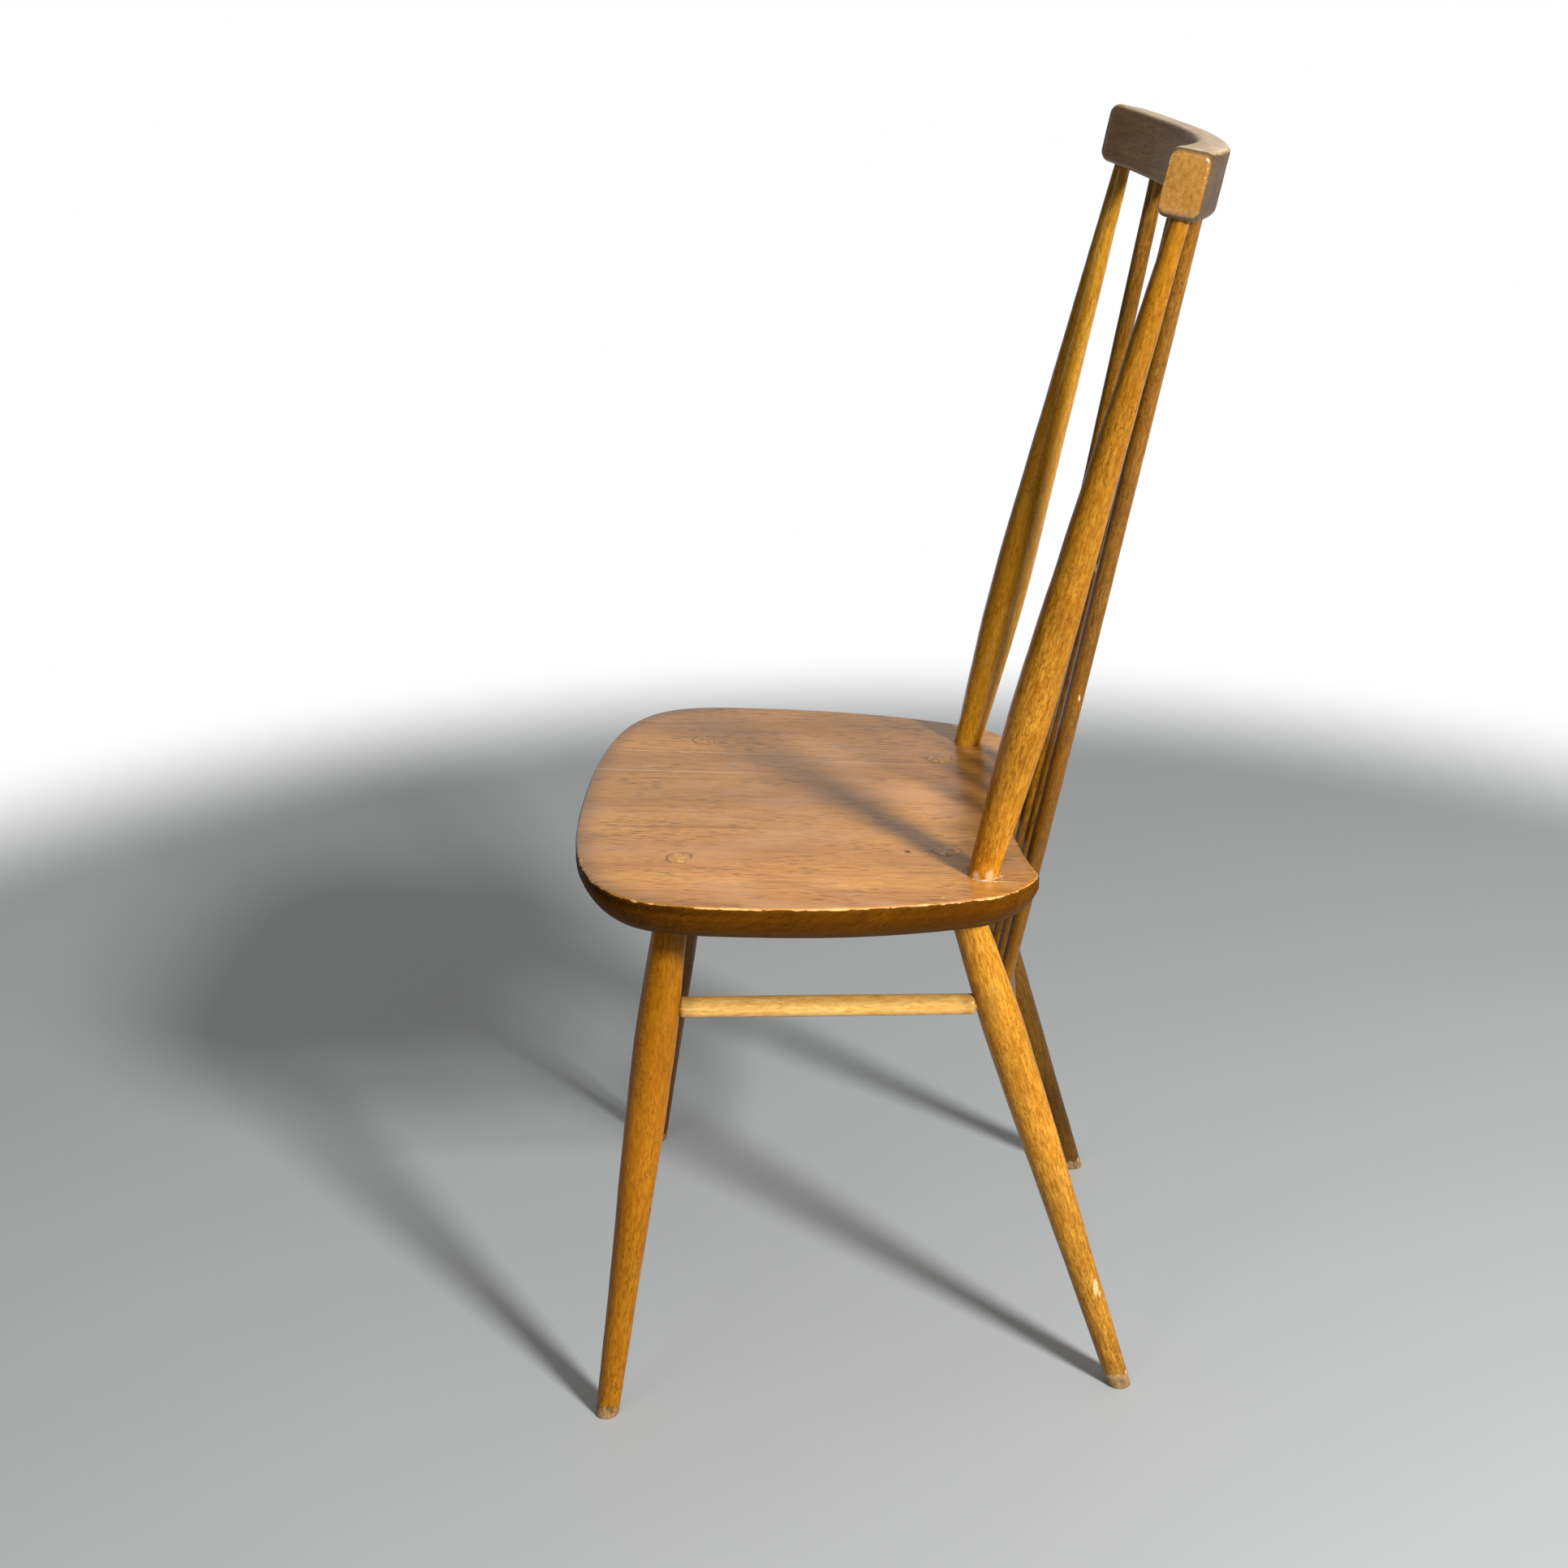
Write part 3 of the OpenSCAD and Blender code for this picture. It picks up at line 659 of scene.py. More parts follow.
def ragged_mark():
    """A ragged mark of a given size at a place on a piece"""
    t, take, give = new_group(ragged_mark, "ShaderNodeTree", {
        "Place": "vector", "Middle": "vector", "Size": "vector", "Rag": "value"},
        {"Mask": "value"})
    away = t.vectors("SUBTRACT", take["Place"], take["Middle"])
    reach = t.distance(t.vectors("DIVIDE", away, take["Size"]))
    ragged = t.noise(take["Place"], 1400, detail=4, rough=0.7)
    reach = t.plus(reach, t.around_zero(ragged, take["Rag"]))
    return t.give(give, {"Mask": t.step(reach, 0.75, 1.05, 1.0, 0.0)})


def mark(t, middle, size, rag):
    """Mask of one ragged mark on a piece"""
    return use(t, ragged_mark, {"Place": t.place(), "Middle": middle, "Size": size,
                                "Rag": rag})["Mask"]


def new_material(name):
    material = bpy.data.materials.new(name)
    material.use_nodes = True
    return material, Tree(material.node_tree), material.node_tree.nodes["Principled BSDF"]


def finish_surface(t, shader, coloured, rough, coat, height, depth, coat_weight=0.1,
                   coat_rough=0.16, shine=0.12):
    """Connects a worn surface to its shader"""
    bump = t.first("ShaderNodeBump", {"Height": height, "Distance": depth, "Strength": 0.8})
    for label, value in (("Base Color", coloured), ("Roughness", rough), ("Normal", bump),
                         ("Coat Weight", t.times(coat, coat_weight))):
        t.link(value, shader.inputs[label])
    for label, value in (("Coat Roughness", coat_rough), ("IOR", 1.5),
                         ("Specular IOR Level", shine), ("Specular Tint", SHEEN_TINT)):
        shader.inputs[label].default_value = value


def figured(t, pale, deep, dark, bands, streaks, mottle, stains, flecks, fleck_size,
            slant=None):
    """Figure of the wood, with a material's own colours and amounts"""
    wood = t.attribute("wood", "Vector")
    return use(t, wood_figure, {
        "Wood": t.stretch(wood, (1, 1, 1), slant) if slant else wood, "Pale": paint(pale),
        "Deep": paint(deep), "Dark": paint(dark), "Bands": bands, "Streaks": streaks,
        "Mottle": mottle, "Stains": stains, "Flecks": flecks, "Fleck Size": fleck_size})


def weathered(t, shader, figure, coloured, bare, rough, depth, fibres, pores, scuffs=0.5,
              marks=(), sooty=0.0, patchy_coat=False, **coat):
    """Wears and dirties a coloured wood, with the painted shade that its dirt share holds, and
    connects it to its shader
    """
    finish = bpy.context.scene.chair_finish
    wood = t.attribute("wood", "Vector")
    wear = t.times(t.attribute("wear"), finish.wear)
    for middle, size, rag in marks:
        wear = t.plus(wear, mark(t, middle, size, rag))
    worn = use(t, worn_varnish, {"Wood": wood, "Colour": coloured, "Bare": paint(bare),
                                 "Wear": wear, "Scuffs": scuffs, "Roughness": rough})
    dirty = use(t, gathered_grime, {
        "Wood": wood, "Colour": worn["Colour"], "Grime Colour": paint(finish.grime),
        "Grime": t.attribute("grime")})
    height = t.plus(worn["Height"], t.sum("SUBTRACT", t.times(figure["Fibres"], fibres),
                                          t.times(figure["Flecks"], pores)))
    rough = worn["Roughness"]
    if sooty:
        rough = t.plus(rough, t.times(dirty["Mask"], sooty))
    weight = worn["Coat"]
    if patchy_coat:
        weight = t.times(weight, t.attribute("gloss"))
    finish_surface(t, shader, dirty["Colour"], rough, weight, height, depth, **coat)


# ---------- materials ----------

def beech_material(name, pale, deep, stains, rough=0.34, chips=(), gloss=0.1, flecks=0.7):
    """Golden varnished beech with flecks, stains, bare wood and dirty feet"""
    finish = bpy.context.scene.chair_finish
    material, t, shader = new_material(name)
    figure = figured(t, pale, deep, finish.beech_dark, bands=0.6, streaks=0.35, mottle=0.9,
                     stains=stains, flecks=flecks, fleck_size=(800, 800, 210))
    tenon = t.mix(t.times(figure["Fibres"], 0.9), paint(finish.seat_pale),
                  paint(finish.seat_deep))
    coloured = t.mix(t.attribute("tenon"), t.scaled(figure["Colour"], t.attribute("tone")),
                     tenon)
    weathered(t, shader, figure, coloured, finish.bare, rough=rough, depth=0.16 * MM,
              fibres=0.5, pores=0.35, marks=chips, sooty=0.25, coat_weight=gloss)
    return material


SEAT_MARKS = (((-0.1299, -0.1128, 0.4316), (0.0026, 0.0012, 0.01), 0.8),
              ((0.187, 0.0412, 0.4268), (0.0014, 0.002, 0.01), 0.8),
              ((0.155, 0.083, 0.426), (0.0012, 0.017, 0.01), 0.8))
NAIL_PLACE = (0.1035, 0.0169, 0.4276)
SEAT_STREAKS = (((-0.0525, -0.168, 0.433), (0.0009, 0.09, 0.02)),
                ((-0.0995, -0.13, 0.433), (0.0007, 0.12, 0.02)),
                ((-0.085, 0.0, 0.433), (0.0007, 0.07, 0.02)))


def seat_material():
    """Top of the seat: satin brown board with faded patches, pores and pale streaks"""
    finish = bpy.context.scene.chair_finish
    material, t, shader = new_material("elm_board")
    figure = figured(t, finish.seat_pale, finish.seat_deep, finish.seat_dark, bands=0.7,
                     streaks=0.6, mottle=0.35, stains=0.2, flecks=0.85,
                     fleck_size=(520, 520, 62))
    wood = t.attribute("wood", "Vector")
    faded = t.step(t.noise(t.stretch(wood, (13, 13, 7)), detail=4, rough=0.6), 0.46, 0.66)
    top = t.mix(t.times(faded, 0.5), figure["Colour"], paint(finish.seat_rose))
    top = t.scaled(top, t.attribute("tone"))
    for middle, size in SEAT_STREAKS:
        top = t.mix(t.times(mark(t, middle, size, 1.0), 0.7), top, paint(finish.seat_streak))
    top = t.mix(mark(t, NAIL_PLACE, (0.0021, 0.0027, 0.01), 0.5), top,
                paint(finish.nail_stain))
    weathered(t, shader, figure, top, finish.bare, rough=0.32, depth=0.1 * MM, fibres=0.6,
              pores=0.7, marks=SEAT_MARKS, coat_weight=0.85, coat_rough=0.25, shine=0.35)
    return material


def seat_edge_material():
    """Edge and underside of the seat: dark brown varnish over slanting grain, worn arris whose
    pale line is partly a painted highlight
    """
    finish = bpy.context.scene.chair_finish
    material, t, shader = new_material("elm_edge")
    figure = figured(t, finish.seat_side, finish.side_deep, finish.side_dark, bands=0.6,
                     streaks=0.7, mottle=0.5, stains=0.25, flecks=0.6,
                     fleck_size=(620, 620, 130), slant=(0.55, 0.0, 0.0))
    side = t.scaled(figure["Colour"], t.attribute("tone"))
    weathered(t, shader, figure, side, finish.side_bare, rough=0.46, depth=0.14 * MM,
              fibres=0.6, pores=0.7, scuffs=0.35, coat_weight=0.0, shine=0.02)
    return material


def comb_material():
    """Comb: dull taupe faces, warm end grain and glossy worn arrises"""
    finish = bpy.context.scene.chair_finish
    material, t, shader = new_material("comb_wood")
    figure = figured(t, finish.comb_pale, finish.comb_deep, finish.comb_dark, bands=0.7,
                     streaks=0.6, mottle=0.5, stains=0.3, flecks=0.4,
                     fleck_size=(700, 700, 120))
    wood = t.attribute("wood", "Vector")
    grain = t.noise(t.stretch(wood, (520, 300, 5)), detail=5, rough=0.7)
    end = t.mix(t.step(grain, 0.3, 0.7), paint(finish.comb_end), paint(finish.comb_end_deep))
    # the pale top: partly faded wood, partly painted light from above
    bands = t.noise(t.stretch(wood, (60, 60, 9)), detail=4)
    top = t.mix(t.step(bands, 0.35, 0.65), paint(finish.comb_top), paint(finish.comb_top_deep))
    coloured = t.mix(t.times(t.attribute("top"), 0.8), figure["Colour"], top)
    coloured = t.scaled(t.mix(t.attribute("ends"), coloured, end), t.attribute("tone"))
    weathered(t, shader, figure, coloured, finish.comb_bare, rough=0.42, depth=0.12 * MM,
              fibres=0.5, pores=0.4, scuffs=0.7, patchy_coat=True, coat_weight=0.9,
              coat_rough=0.14)
    return material


def end_grain_material():
    """End grain of tenons and wedges, under the seat's own varnish"""
    found = bpy.data.materials.get("end_grain")
    if found:
        return found
    finish = bpy.context.scene.chair_finish
    material, t, shader = new_material("end_grain")
    place = t.place()
    pores = t.cells(place, 1500)
    cloud = t.noise(place, 190, detail=5, rough=0.65)
    coloured = t.mix(t.step(cloud, 0.35, 0.68), paint(finish.seat_pale), paint(finish.seat_deep))
    coloured = t.mix(t.step(pores, 0.1, 0.35, 0.5, 0.0), coloured, paint(finish.end_pores))
    worn = use(t, worn_varnish, {"Wood": place, "Colour": coloured, "Bare": paint(finish.bare),
                                 "Wear": 0.16, "Scuffs": 0.5, "Roughness": 0.34})
    finish_surface(t, shader, worn["Colour"], worn["Roughness"], worn["Coat"],
                   t.plus(worn["Height"], t.times(pores, 0.6)), 0.1 * MM, coat_weight=0.85,
                   coat_rough=0.27, shine=0.5)
    return material


def glue_material():
    """Old glue and lifted varnish, off-white and rough"""
    finish = bpy.context.scene.chair_finish
    material, t, shader = new_material("old_glue")
    cloud = t.noise(t.place(), 420, detail=5, rough=0.7)
    coloured = t.mix(t.step(cloud, 0.35, 0.68), paint(finish.glue), paint(finish.glue_brown))
    finish_surface(t, shader, coloured, t.step(cloud, 0.2, 0.8, 0.45, 0.75), cloud, cloud,
                   0.15 * MM)
    return material


# ---------- the pieces ----------

SEAT_TOP = flat_face("seat", (0, 0, 1))
SEAT_UNDER = flat_face("seat", (0, 0, -1))
COMB_UNDER = flat_face("comb_rail", (0, 0, -1))
FLOOR = (np.zeros(3), np.array([0.0, 0.0, 1.0]))


def loop(values):
    """Periodic curve through points: values at fractional places"""
    def at(places):
        base = np.floor(places).astype(int)
        corners = (values[(base + k) % len(values)] for k in (-1, 0, 1, 2))
        return spline(*corners, (places - base)[:, None])
    return at


EDGE_LEVEL = 0.04 * MM


def seat_edge_rings():
    """The CAD seat's edge as rings of matching points, from its top face down"""
    middle, normal = SEAT_TOP
    corners = np.unique(np.round(cad_faces("seat").reshape(-1, 3), 6), axis=0)
    heights = (corners - middle) @ normal
    levels = np.round(heights / EDGE_LEVEL).astype(int)
    rings = []
    for level in sorted(set(levels), reverse=True):
        members = corners[np.abs(heights - level * EDGE_LEVEL) < 1.25 * EDGE_LEVEL]
        if len(members) < 50 or (rings and abs(level - rings[-1][0]) <= 2):
            continue
        rings.append((level, members))
    inner = min(len(members) for _, members in rings)
    found = []
    for _, members in rings[1:]:
        if len(members) == inner:
            from_middle = members - members.mean(0)
            members = members[np.argsort(np.arctan2(from_middle[:, 1], from_middle[:, 0]))]
        if found and len(members) == inner:
            shifts = [np.abs(np.roll(members, s, axis=0) - found[-1]).sum() for s in range(-3, 4)]
            members = np.roll(members, int(np.argmin(shifts)) - 3, axis=0)
        elif found:
            members = nearest(members, found[-1])
        found.append(members)
    return np.array([nearest(rings[0][1], found[0]), *found])


def nearest(members, beside):
    """For each point of a ring, the nearest of some other points"""
    gaps = np.linalg.norm(members[None] - beside[:, None], axis=2)
    return members[gaps.argmin(1)]


def smooth_rows(rows, steps):
    """Rows of points with a smooth curve through them, in so many steps between two rows"""
    rows = np.asarray(rows)
    padded = np.concatenate([[2 * rows[0] - rows[1]], rows, [2 * rows[-1] - rows[-2]]])
    found = [spline(*padded[k:k + 4], t) for k in range(len(rows) - 1)
             for t in np.arange(steps) / steps]
    return found + [rows[-1]]


def tube_rings(low, high, low_radius, high_radius, sides=64):
    """Rings of a round or tapered bar between two points"""
    direction = (high - low) / np.linalg.norm(high - low)
    around = circle_round(direction, sides)[1]
    return [low + low_radius * around, high + high_radius * around]


POST_FOOT_RADIUS = 11.05 * MM
POST_SEAM_RADIUS = 11.2 * MM


def leg_line(node):
    low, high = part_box(node)
    side = 1 if low.x + high.x > 0 else -1
    back = 1 if low.y + high.y > 0 else -1
    return middle_line(node, (-0.18 * side, -0.22 * back, 1.0))


def tenon_radius(node, line):
    top = crossing(line, SEAT_TOP)
    return typical_radius(node, line, top - np.linspace(6, 16, 9) * MM)


WIDEST_RING = 3         # of the CAD seat's edge, counted from its top
CREST_ROW = 9           # rows of the finer edge
MOST_WORN_ROW = 5
WORN_ROWS = 14


def seat_edge_rows(making):
    """Rows of points down the seat's edge, from its top face to its underside"""
    edge = seat_edge_rings()
    widest = edge[WIDEST_RING]
    steps = np.linalg.norm(np.roll(widest, -1, axis=0) - widest, axis=1)
    reach = np.concatenate([[0], np.cumsum(steps)])
    columns = making.seat_columns
    places = np.interp(np.arange(columns) / columns * reach[-1], reach,
                       np.arange(len(widest) + 1))
    edge = np.array([loop(ring)(places) for ring in edge])
    return np.array(smooth_rows(edge[:WIDEST_RING + 1], 3)[:-1]
                    + smooth_rows(edge[WIDEST_RING:WIDEST_RING + 2], 6)[:-1]
                    + smooth_rows(edge[WIDEST_RING + 1:], 4))


def wear_arris(rows, making):
    """Wears the upper arris, deepest on both sides, where hands and knees pass"""
    middle, normal = SEAT_TOP
    ring = rows[CREST_ROW]
    outward = ring - np.array([0, middle[1], ring[:, 2].mean()])
    outward[:, 2] = 0
    outward /= np.linalg.norm(outward, axis=1)[:, None]
    worn = 0.45 + waves(ring, 0.09, 0.3, 11) + waves(ring, 0.021, 0.22, 12)
    worn += (0.5 * step(np.abs(ring[:, 0]), 0.12, 0.2)
             * step(-np.abs(ring[:, 1] + 0.02), -0.16, -0.1))
    chips = np.clip(waves(ring, 0.009, 0.7, 13) - 0.75, 0, 1) * 0.7 * MM
    worn = np.clip(worn, 0, 1.3) * making.arris_wear * 0.6 + chips
    for k in range(WORN_ROWS):
        share_worn = bell(k, MOST_WORN_ROW, 3.2)
        rows[k] -= (outward * 0.75 + normal * 0.65) * (worn * share_worn)[:, None]


def seat_skin(rows):
    """Closed rings of the whole board: its top, its edge and its underside"""
    middle, normal = SEAT_TOP
    hub = np.array([0.0, middle[1], middle[2]])
    low_hub = hub - normal * ((hub - SEAT_UNDER[0]) @ normal)
    shares = np.concatenate([[0.992, 0.975], np.linspace(0.94, 0.05, 27)])
    grid = np.concatenate([[hub + (rows[0] - hub) * s for s in shares[::-1]], rows,
                           [low_hub + (rows[-1] - low_hub) * s
                            for s in np.linspace(0.97, 0.06, 14)]])
    flat = grid.reshape(-1, 3)
    skin = np.where((flat - middle) @ normal > -3 * MM, 1.0, 0.5)
    flat += normal * (waves(flat, 0.11, 0.1 * MM, 21) * skin)[:, None]
    return flat.reshape(grid.shape)


def seat_cutters(making):
    """Shapes cut from the board: seams round the tenons, the nail hole and the crack"""
    normal = SEAT_TOP[1]
    cutters = []
    for node in LEGS:
        line = leg_line(node)
        radius = tenon_radius(node, line) + making.hole_gap
        top = crossing(line, SEAT_TOP)
        rings = tube_rings(line[0] + (top - 12.5 * MM) * line[1],
                           line[0] + (top + 20 * MM) * line[1], radius, radius)
        cutters.append((node + "_hole", rings))
    nail = np.array(NAIL_PLACE)
    cutters.append(("nail_hole", tube_rings(nail - 2.2 * MM * normal, nail + 1.5 * MM * normal,
                                            0.8 * MM, 1.8 * MM, 20)))
    cutters.append(("crack", crack_rings(normal)))
    return [placed(name, ring_mesh(name, rings)) for name, rings in cutters]


def seat_tone(points, heights, away):
    """Shade of the seat: a painted reflection and painted light on its top, darker along its front
    rim, and painted shade on its edge
    """
    x, y = points[:, 0], points[:, 1]
    # painted reflection: the far post, seen in the varnish, darkens a band between the posts
    between_posts = (bell(y, 0.077, 0.027) * step(np.abs(x), -0.02, 0.02)
                     * step(-np.abs(x), -0.15, -0.1))
    # painted light: a brighter patch near the middle, where the key lamp falls
    faded = bell(x, -0.03, 0.08) * bell(y, 0.03, 0.024)
    front_rim = bell(away, 0, 9 * MM) * step(-y, 0.06, 0.17)
    # painted light: the near side, closer to the lamps, made brighter
    left = step(x, 0.05, 0.15) * step(-np.abs(y + 0.08), -0.17, -0.05)
    top = (1 - between_posts * (0.5 + waves(points, 0.03, 0.1, 33)) + 0.4 * faded
           + 0.2 * left - 0.38 * front_rim)
    # painted shade: the edge darker towards the front, and darker still on its upper band, which
    # the key lamp lights
    edge = (1 - 0.26 * step(-y, 0.1, 0.19)
            - 0.34 * step(-y, 0.04, 0.15) * bell(heights, -4 * MM, 3 * MM))
    return np.where(heights < -1.6 * MM, edge, np.clip(top, 0.4, 1.5))


def seat_wear(points, heights, away):
    """Bare wood along the seat's arris, widest on its left and right; its thin pale line is partly
    a painted highlight
    """
    run = waves(points, 0.05, 0.16, 31) + 0.07 * np.sign(points[:, 0])
    side_run = step(np.abs(points[:, 0]), 0.09, 0.18)
    arris = bell(heights, -1.1 * MM, 1.15 * MM) * bell(away, 0, 2.4 * MM)
    lower = bell(heights, -10 * MM, 1.5 * MM) * 0.22
    return (arris * (0.33 + 0.32 * side_run + run)
            + np.where(heights < -1.6 * MM, lower, 0) + 0.06)


def seat_grime(points, heights):
    """Dirt round the tenons, the posts and the nail hole, and a darker underside"""
    grime = 0.12 + np.where(heights < -20 * MM, 0.35, 0.0)
    for node in LEGS:
        line = leg_line(node)
        gap = np.abs(np.linalg.norm(points - meeting(line, SEAT_TOP), axis=1)
                     - tenon_radius(node, line))
        grime = grime + 0.75 * bell(gap, 0, 0.9 * MM) * (heights > -1 * MM)
    for node in POSTS:
        spot = meeting(middle_line(node, (0, 0.25, 1)), SEAT_TOP)
        gap = np.abs(np.linalg.norm(points - spot, axis=1) - POST_SEAM_RADIUS)
        grime = grime + 0.6 * bell(gap, 0, 1.6 * MM)
    return grime + 0.8 * (np.linalg.norm(points - np.array(NAIL_PLACE), axis=1) < 1.9 * MM)


def make_seat(making):
    middle, normal = SEAT_TOP
    rows = seat_edge_rows(making)
    wear_arris(rows, making)
    board = seat_material()
    seat = piece("seat_board", ring_mesh("seat_board", seat_skin(rows)), [board])
    cutters = seat_cutters(making)
    for tool in cutters:
        cut = seat.modifiers.new("cut", "BOOLEAN")
        cut.object, cut.operation, cut.solver = tool, "DIFFERENCE", "EXACT"
    done = baked(seat, "seat_board")
    for tool in cutters:
        bpy.data.objects.remove(tool)
    seat = piece("seat_board", done, [board, seat_edge_material()], 38)
    points = points_of(seat)
    heights = (points - middle) @ normal
    right = np.array([1.0, 0, 0])
    note_grain(seat, middle, (right, normal, np.cross(normal, right)), 0)
    outline = rows[0][:, :2]
    away = np.array([np.sqrt(((outline - p) ** 2).sum(1).min()) for p in points[:, :2]])
    for face in seat.data.polygons:
        corners = list(face.vertices)
        height = heights[corners].mean()
        on_edge = height < -0.8 * MM and away[corners].min() < 40 * MM
        face.material_index = int(on_edge or height < -15 * MM)
    note_marks(seat, seat_tone(points, heights, away), seat_wear(points, heights, away),
               seat_grime(points, heights))
    hand_over(seat, ["seat"])


def crack_rings(normal):
    """A thin wandering crack behind the left post, as rings of a flat wedge"""
    rings = []
    for t in np.linspace(0, 1, 15):
        width = (0.05 + 0.42 * math.sin(math.pi * t) ** 0.6) * MM
        place = np.array([0.1558 - 0.0004 * t + 0.0004 * math.sin(9 * t), 0.068 + 0.0306 * t, 0])
        place[2] = (SEAT_TOP[0] @ normal - place[1] * normal[1]) / normal[2]
        rings.append([place + (width, 0, 1.5 * MM), place + (-width, 0, 1.5 * MM),
                      place + (-0.03 * MM, 0, -1.6 * MM), place + (0.03 * MM, 0, -1.6 * MM)])
    return rings


def turned_rings(line, profile, making, low, high, seed, foot_round=0.0):
    """Rings of a turned surface between two planes that may cross it at a slant"""
    point, direction = line
    turn, around = circle_round(direction, making.leg_sides)
    ends = []
    for plane in (low, high):
        radius = np.interp(crossing(line, plane), *profile)
        ends.append(crossing(line, plane) - radius * (around @ plane[1]) / (direction @ plane[1]))
    shares = np.concatenate([[0, 0.0004, 0.001, 0.002, 0.0034],
                             np.linspace(0.005, 0.996, making.leg_rings), [0.998, 1.0]])
    reach = ends[0][None] + (ends[1] - ends[0])[None] * shares[:, None]
    radius = np.interp(reach, *profile)
    surface = point + reach[..., None] * direction + radius[..., None] * around
    flat = surface.reshape(-1, 3)
    bumps = (waves(flat, 0.05, making.unevenness, seed + 1)
             + waves(flat, 0.013, making.unevenness * 0.35, seed + 2))
    sunk = knocks(flat, seed, 16, (1.2, 3.6), (0.12, 0.42))
    radius = radius + (bumps - sunk).reshape(radius.shape)
    if foot_round:
        uneven = foot_round * (1 + 0.35 * np.sin(turn + seed) + 0.2 * np.sin(3 * turn + 2 * seed))
        lack = np.clip(1 - (reach - ends[0][None]) / uneven[None], 0, 1)
        radius = radius - uneven[None] * (1 - np.sqrt(1 - lack * lack)) * 0.85
    return point + reach[..., None] * direction + radius[..., None] * around, around


def shrink(ring, share_left):
    middle = ring.mean(0)
    return middle + (ring - middle) * share_left


def leg_profile(node, line, low, high, margin):
    places = np.linspace(crossing(line, low) + margin, crossing(line, high) - margin, 90)
    return places, steadied(radius_along(node, line, places))


LEG_CHIPS = (((0.1615, 0.164, 0.085), (0.004, 0.0026, 0.0085), 2.6),
             ((0.1600, 0.1670, 0.0790), (0.003, 0.0012, 0.003), 2.2),
             ((0.1563, 0.141, 0.158), (0.003, 0.0012, 0.004), 2.0))


def tenon_rings(line, around, radius, making, seed):
    """Rings of a leg's tenon, through the seat and domed a little over it"""
    point, direction = line
    up = SEAT_TOP[1]

    def ring(place, lift, size):
        reach = (crossing(line, (place, up)) + lift / (direction @ up)
                 - size * (around @ up) / (direction @ up))
        return point + reach[:, None] * direction + size * around
    under, top = SEAT_UNDER[0], SEAT_TOP[0]
    rings = [ring(under, 0, radius + 1.5 * MM), ring(under, 0, radius),
             ring(under, 12 * MM, radius), ring(top, -0.45 * MM, radius)]
    for lift, less in ((0.0, 0.03), (0.55, 0.16), (0.9, 0.42), (1.0, 0.9)):
        rings.append(ring(top, lift * making.proud, radius - less * MM))
    for size in (0.8, 0.6, 0.4, 0.2):
        inner = ring(top, making.proud, radius * size)
        rings.append(inner + up * waves(inner, 0.006, 0.05 * MM, seed)[:, None])
    return rings


def make_legs(making):
    finish = bpy.context.scene.chair_finish
    up = SEAT_TOP[1]
    front_beech = beech_material("front_leg_beech", finish.front_leg_pale,
                                 finish.front_leg_deep, stains=0.32)
    rear_beech = beech_material("rear_leg_beech", finish.rear_leg_pale,
                                finish.rear_leg_deep, stains=0.32, chips=LEG_CHIPS)
    for number, node in enumerate(LEGS):
        line = leg_line(node)
        profile = leg_profile(node, line, FLOOR, SEAT_UNDER, 5 * MM)
        rings, around = turned_rings(line, profile, making, FLOOR, SEAT_UNDER, 40 + number,
                                     making.foot_round)
        rings = [*(shrink(rings[0], s) for s in (0.25, 0.6, 0.86)), *rings,
                 *tenon_rings(line, around, tenon_radius(node, line), making, 61 + number)]
        for ring in rings:
            ring[:, 2] = np.maximum(ring[:, 2], 0)
        made = piece(node + "_turned", ring_mesh(node + "_turned", rings),
                     [(front_beech, rear_beech)[number // 2], end_grain_material()], 50)
        note_bar_grain(made, line, number)
        points = points_of(made)
        above = (points - SEAT_TOP[0]) @ up
        for face in made.data.polygons:
            face.material_index = int(above[list(face.vertices)].min() > -0.1 * MM)
        near_top = above > -2 * MM
        foot_wear = step(-points[:, 2] + waves(points, 0.012, 1.6 * MM, 71 + number),
                         -15 * MM, -8 * MM)
        under_seat = step((points - SEAT_UNDER[0]) @ up, -9 * MM, 0.5 * MM) * ~near_top
        grime = 0.12 + 0.5 * foot_wear + 0.4 * under_seat + 0.1 * step(-points[:, 2], -0.2, -0.02)
        for rail in STRETCHERS:
            low, high = (np.array(v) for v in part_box(rail))
            outside = np.maximum(np.maximum(low - points, points - high), 0)
            grime = grime + 0.32 * bell(np.linalg.norm(outside, axis=1), 0, 2.2 * MM)
        tone = np.interp(points[:, 2], (0.0, 0.2, 0.4), LEG_TONES[node])
        wear = (0.1 + 0.42 * foot_wear + 0.05 * near_top
                + 0.1 * step(-points[:, 2], -0.16, -0.03))
        note_marks(made, tone + waves(points, 0.11, 0.06, 81 + number), wear, grime,
                   tenon=near_top)
        hand_over(made, [node])


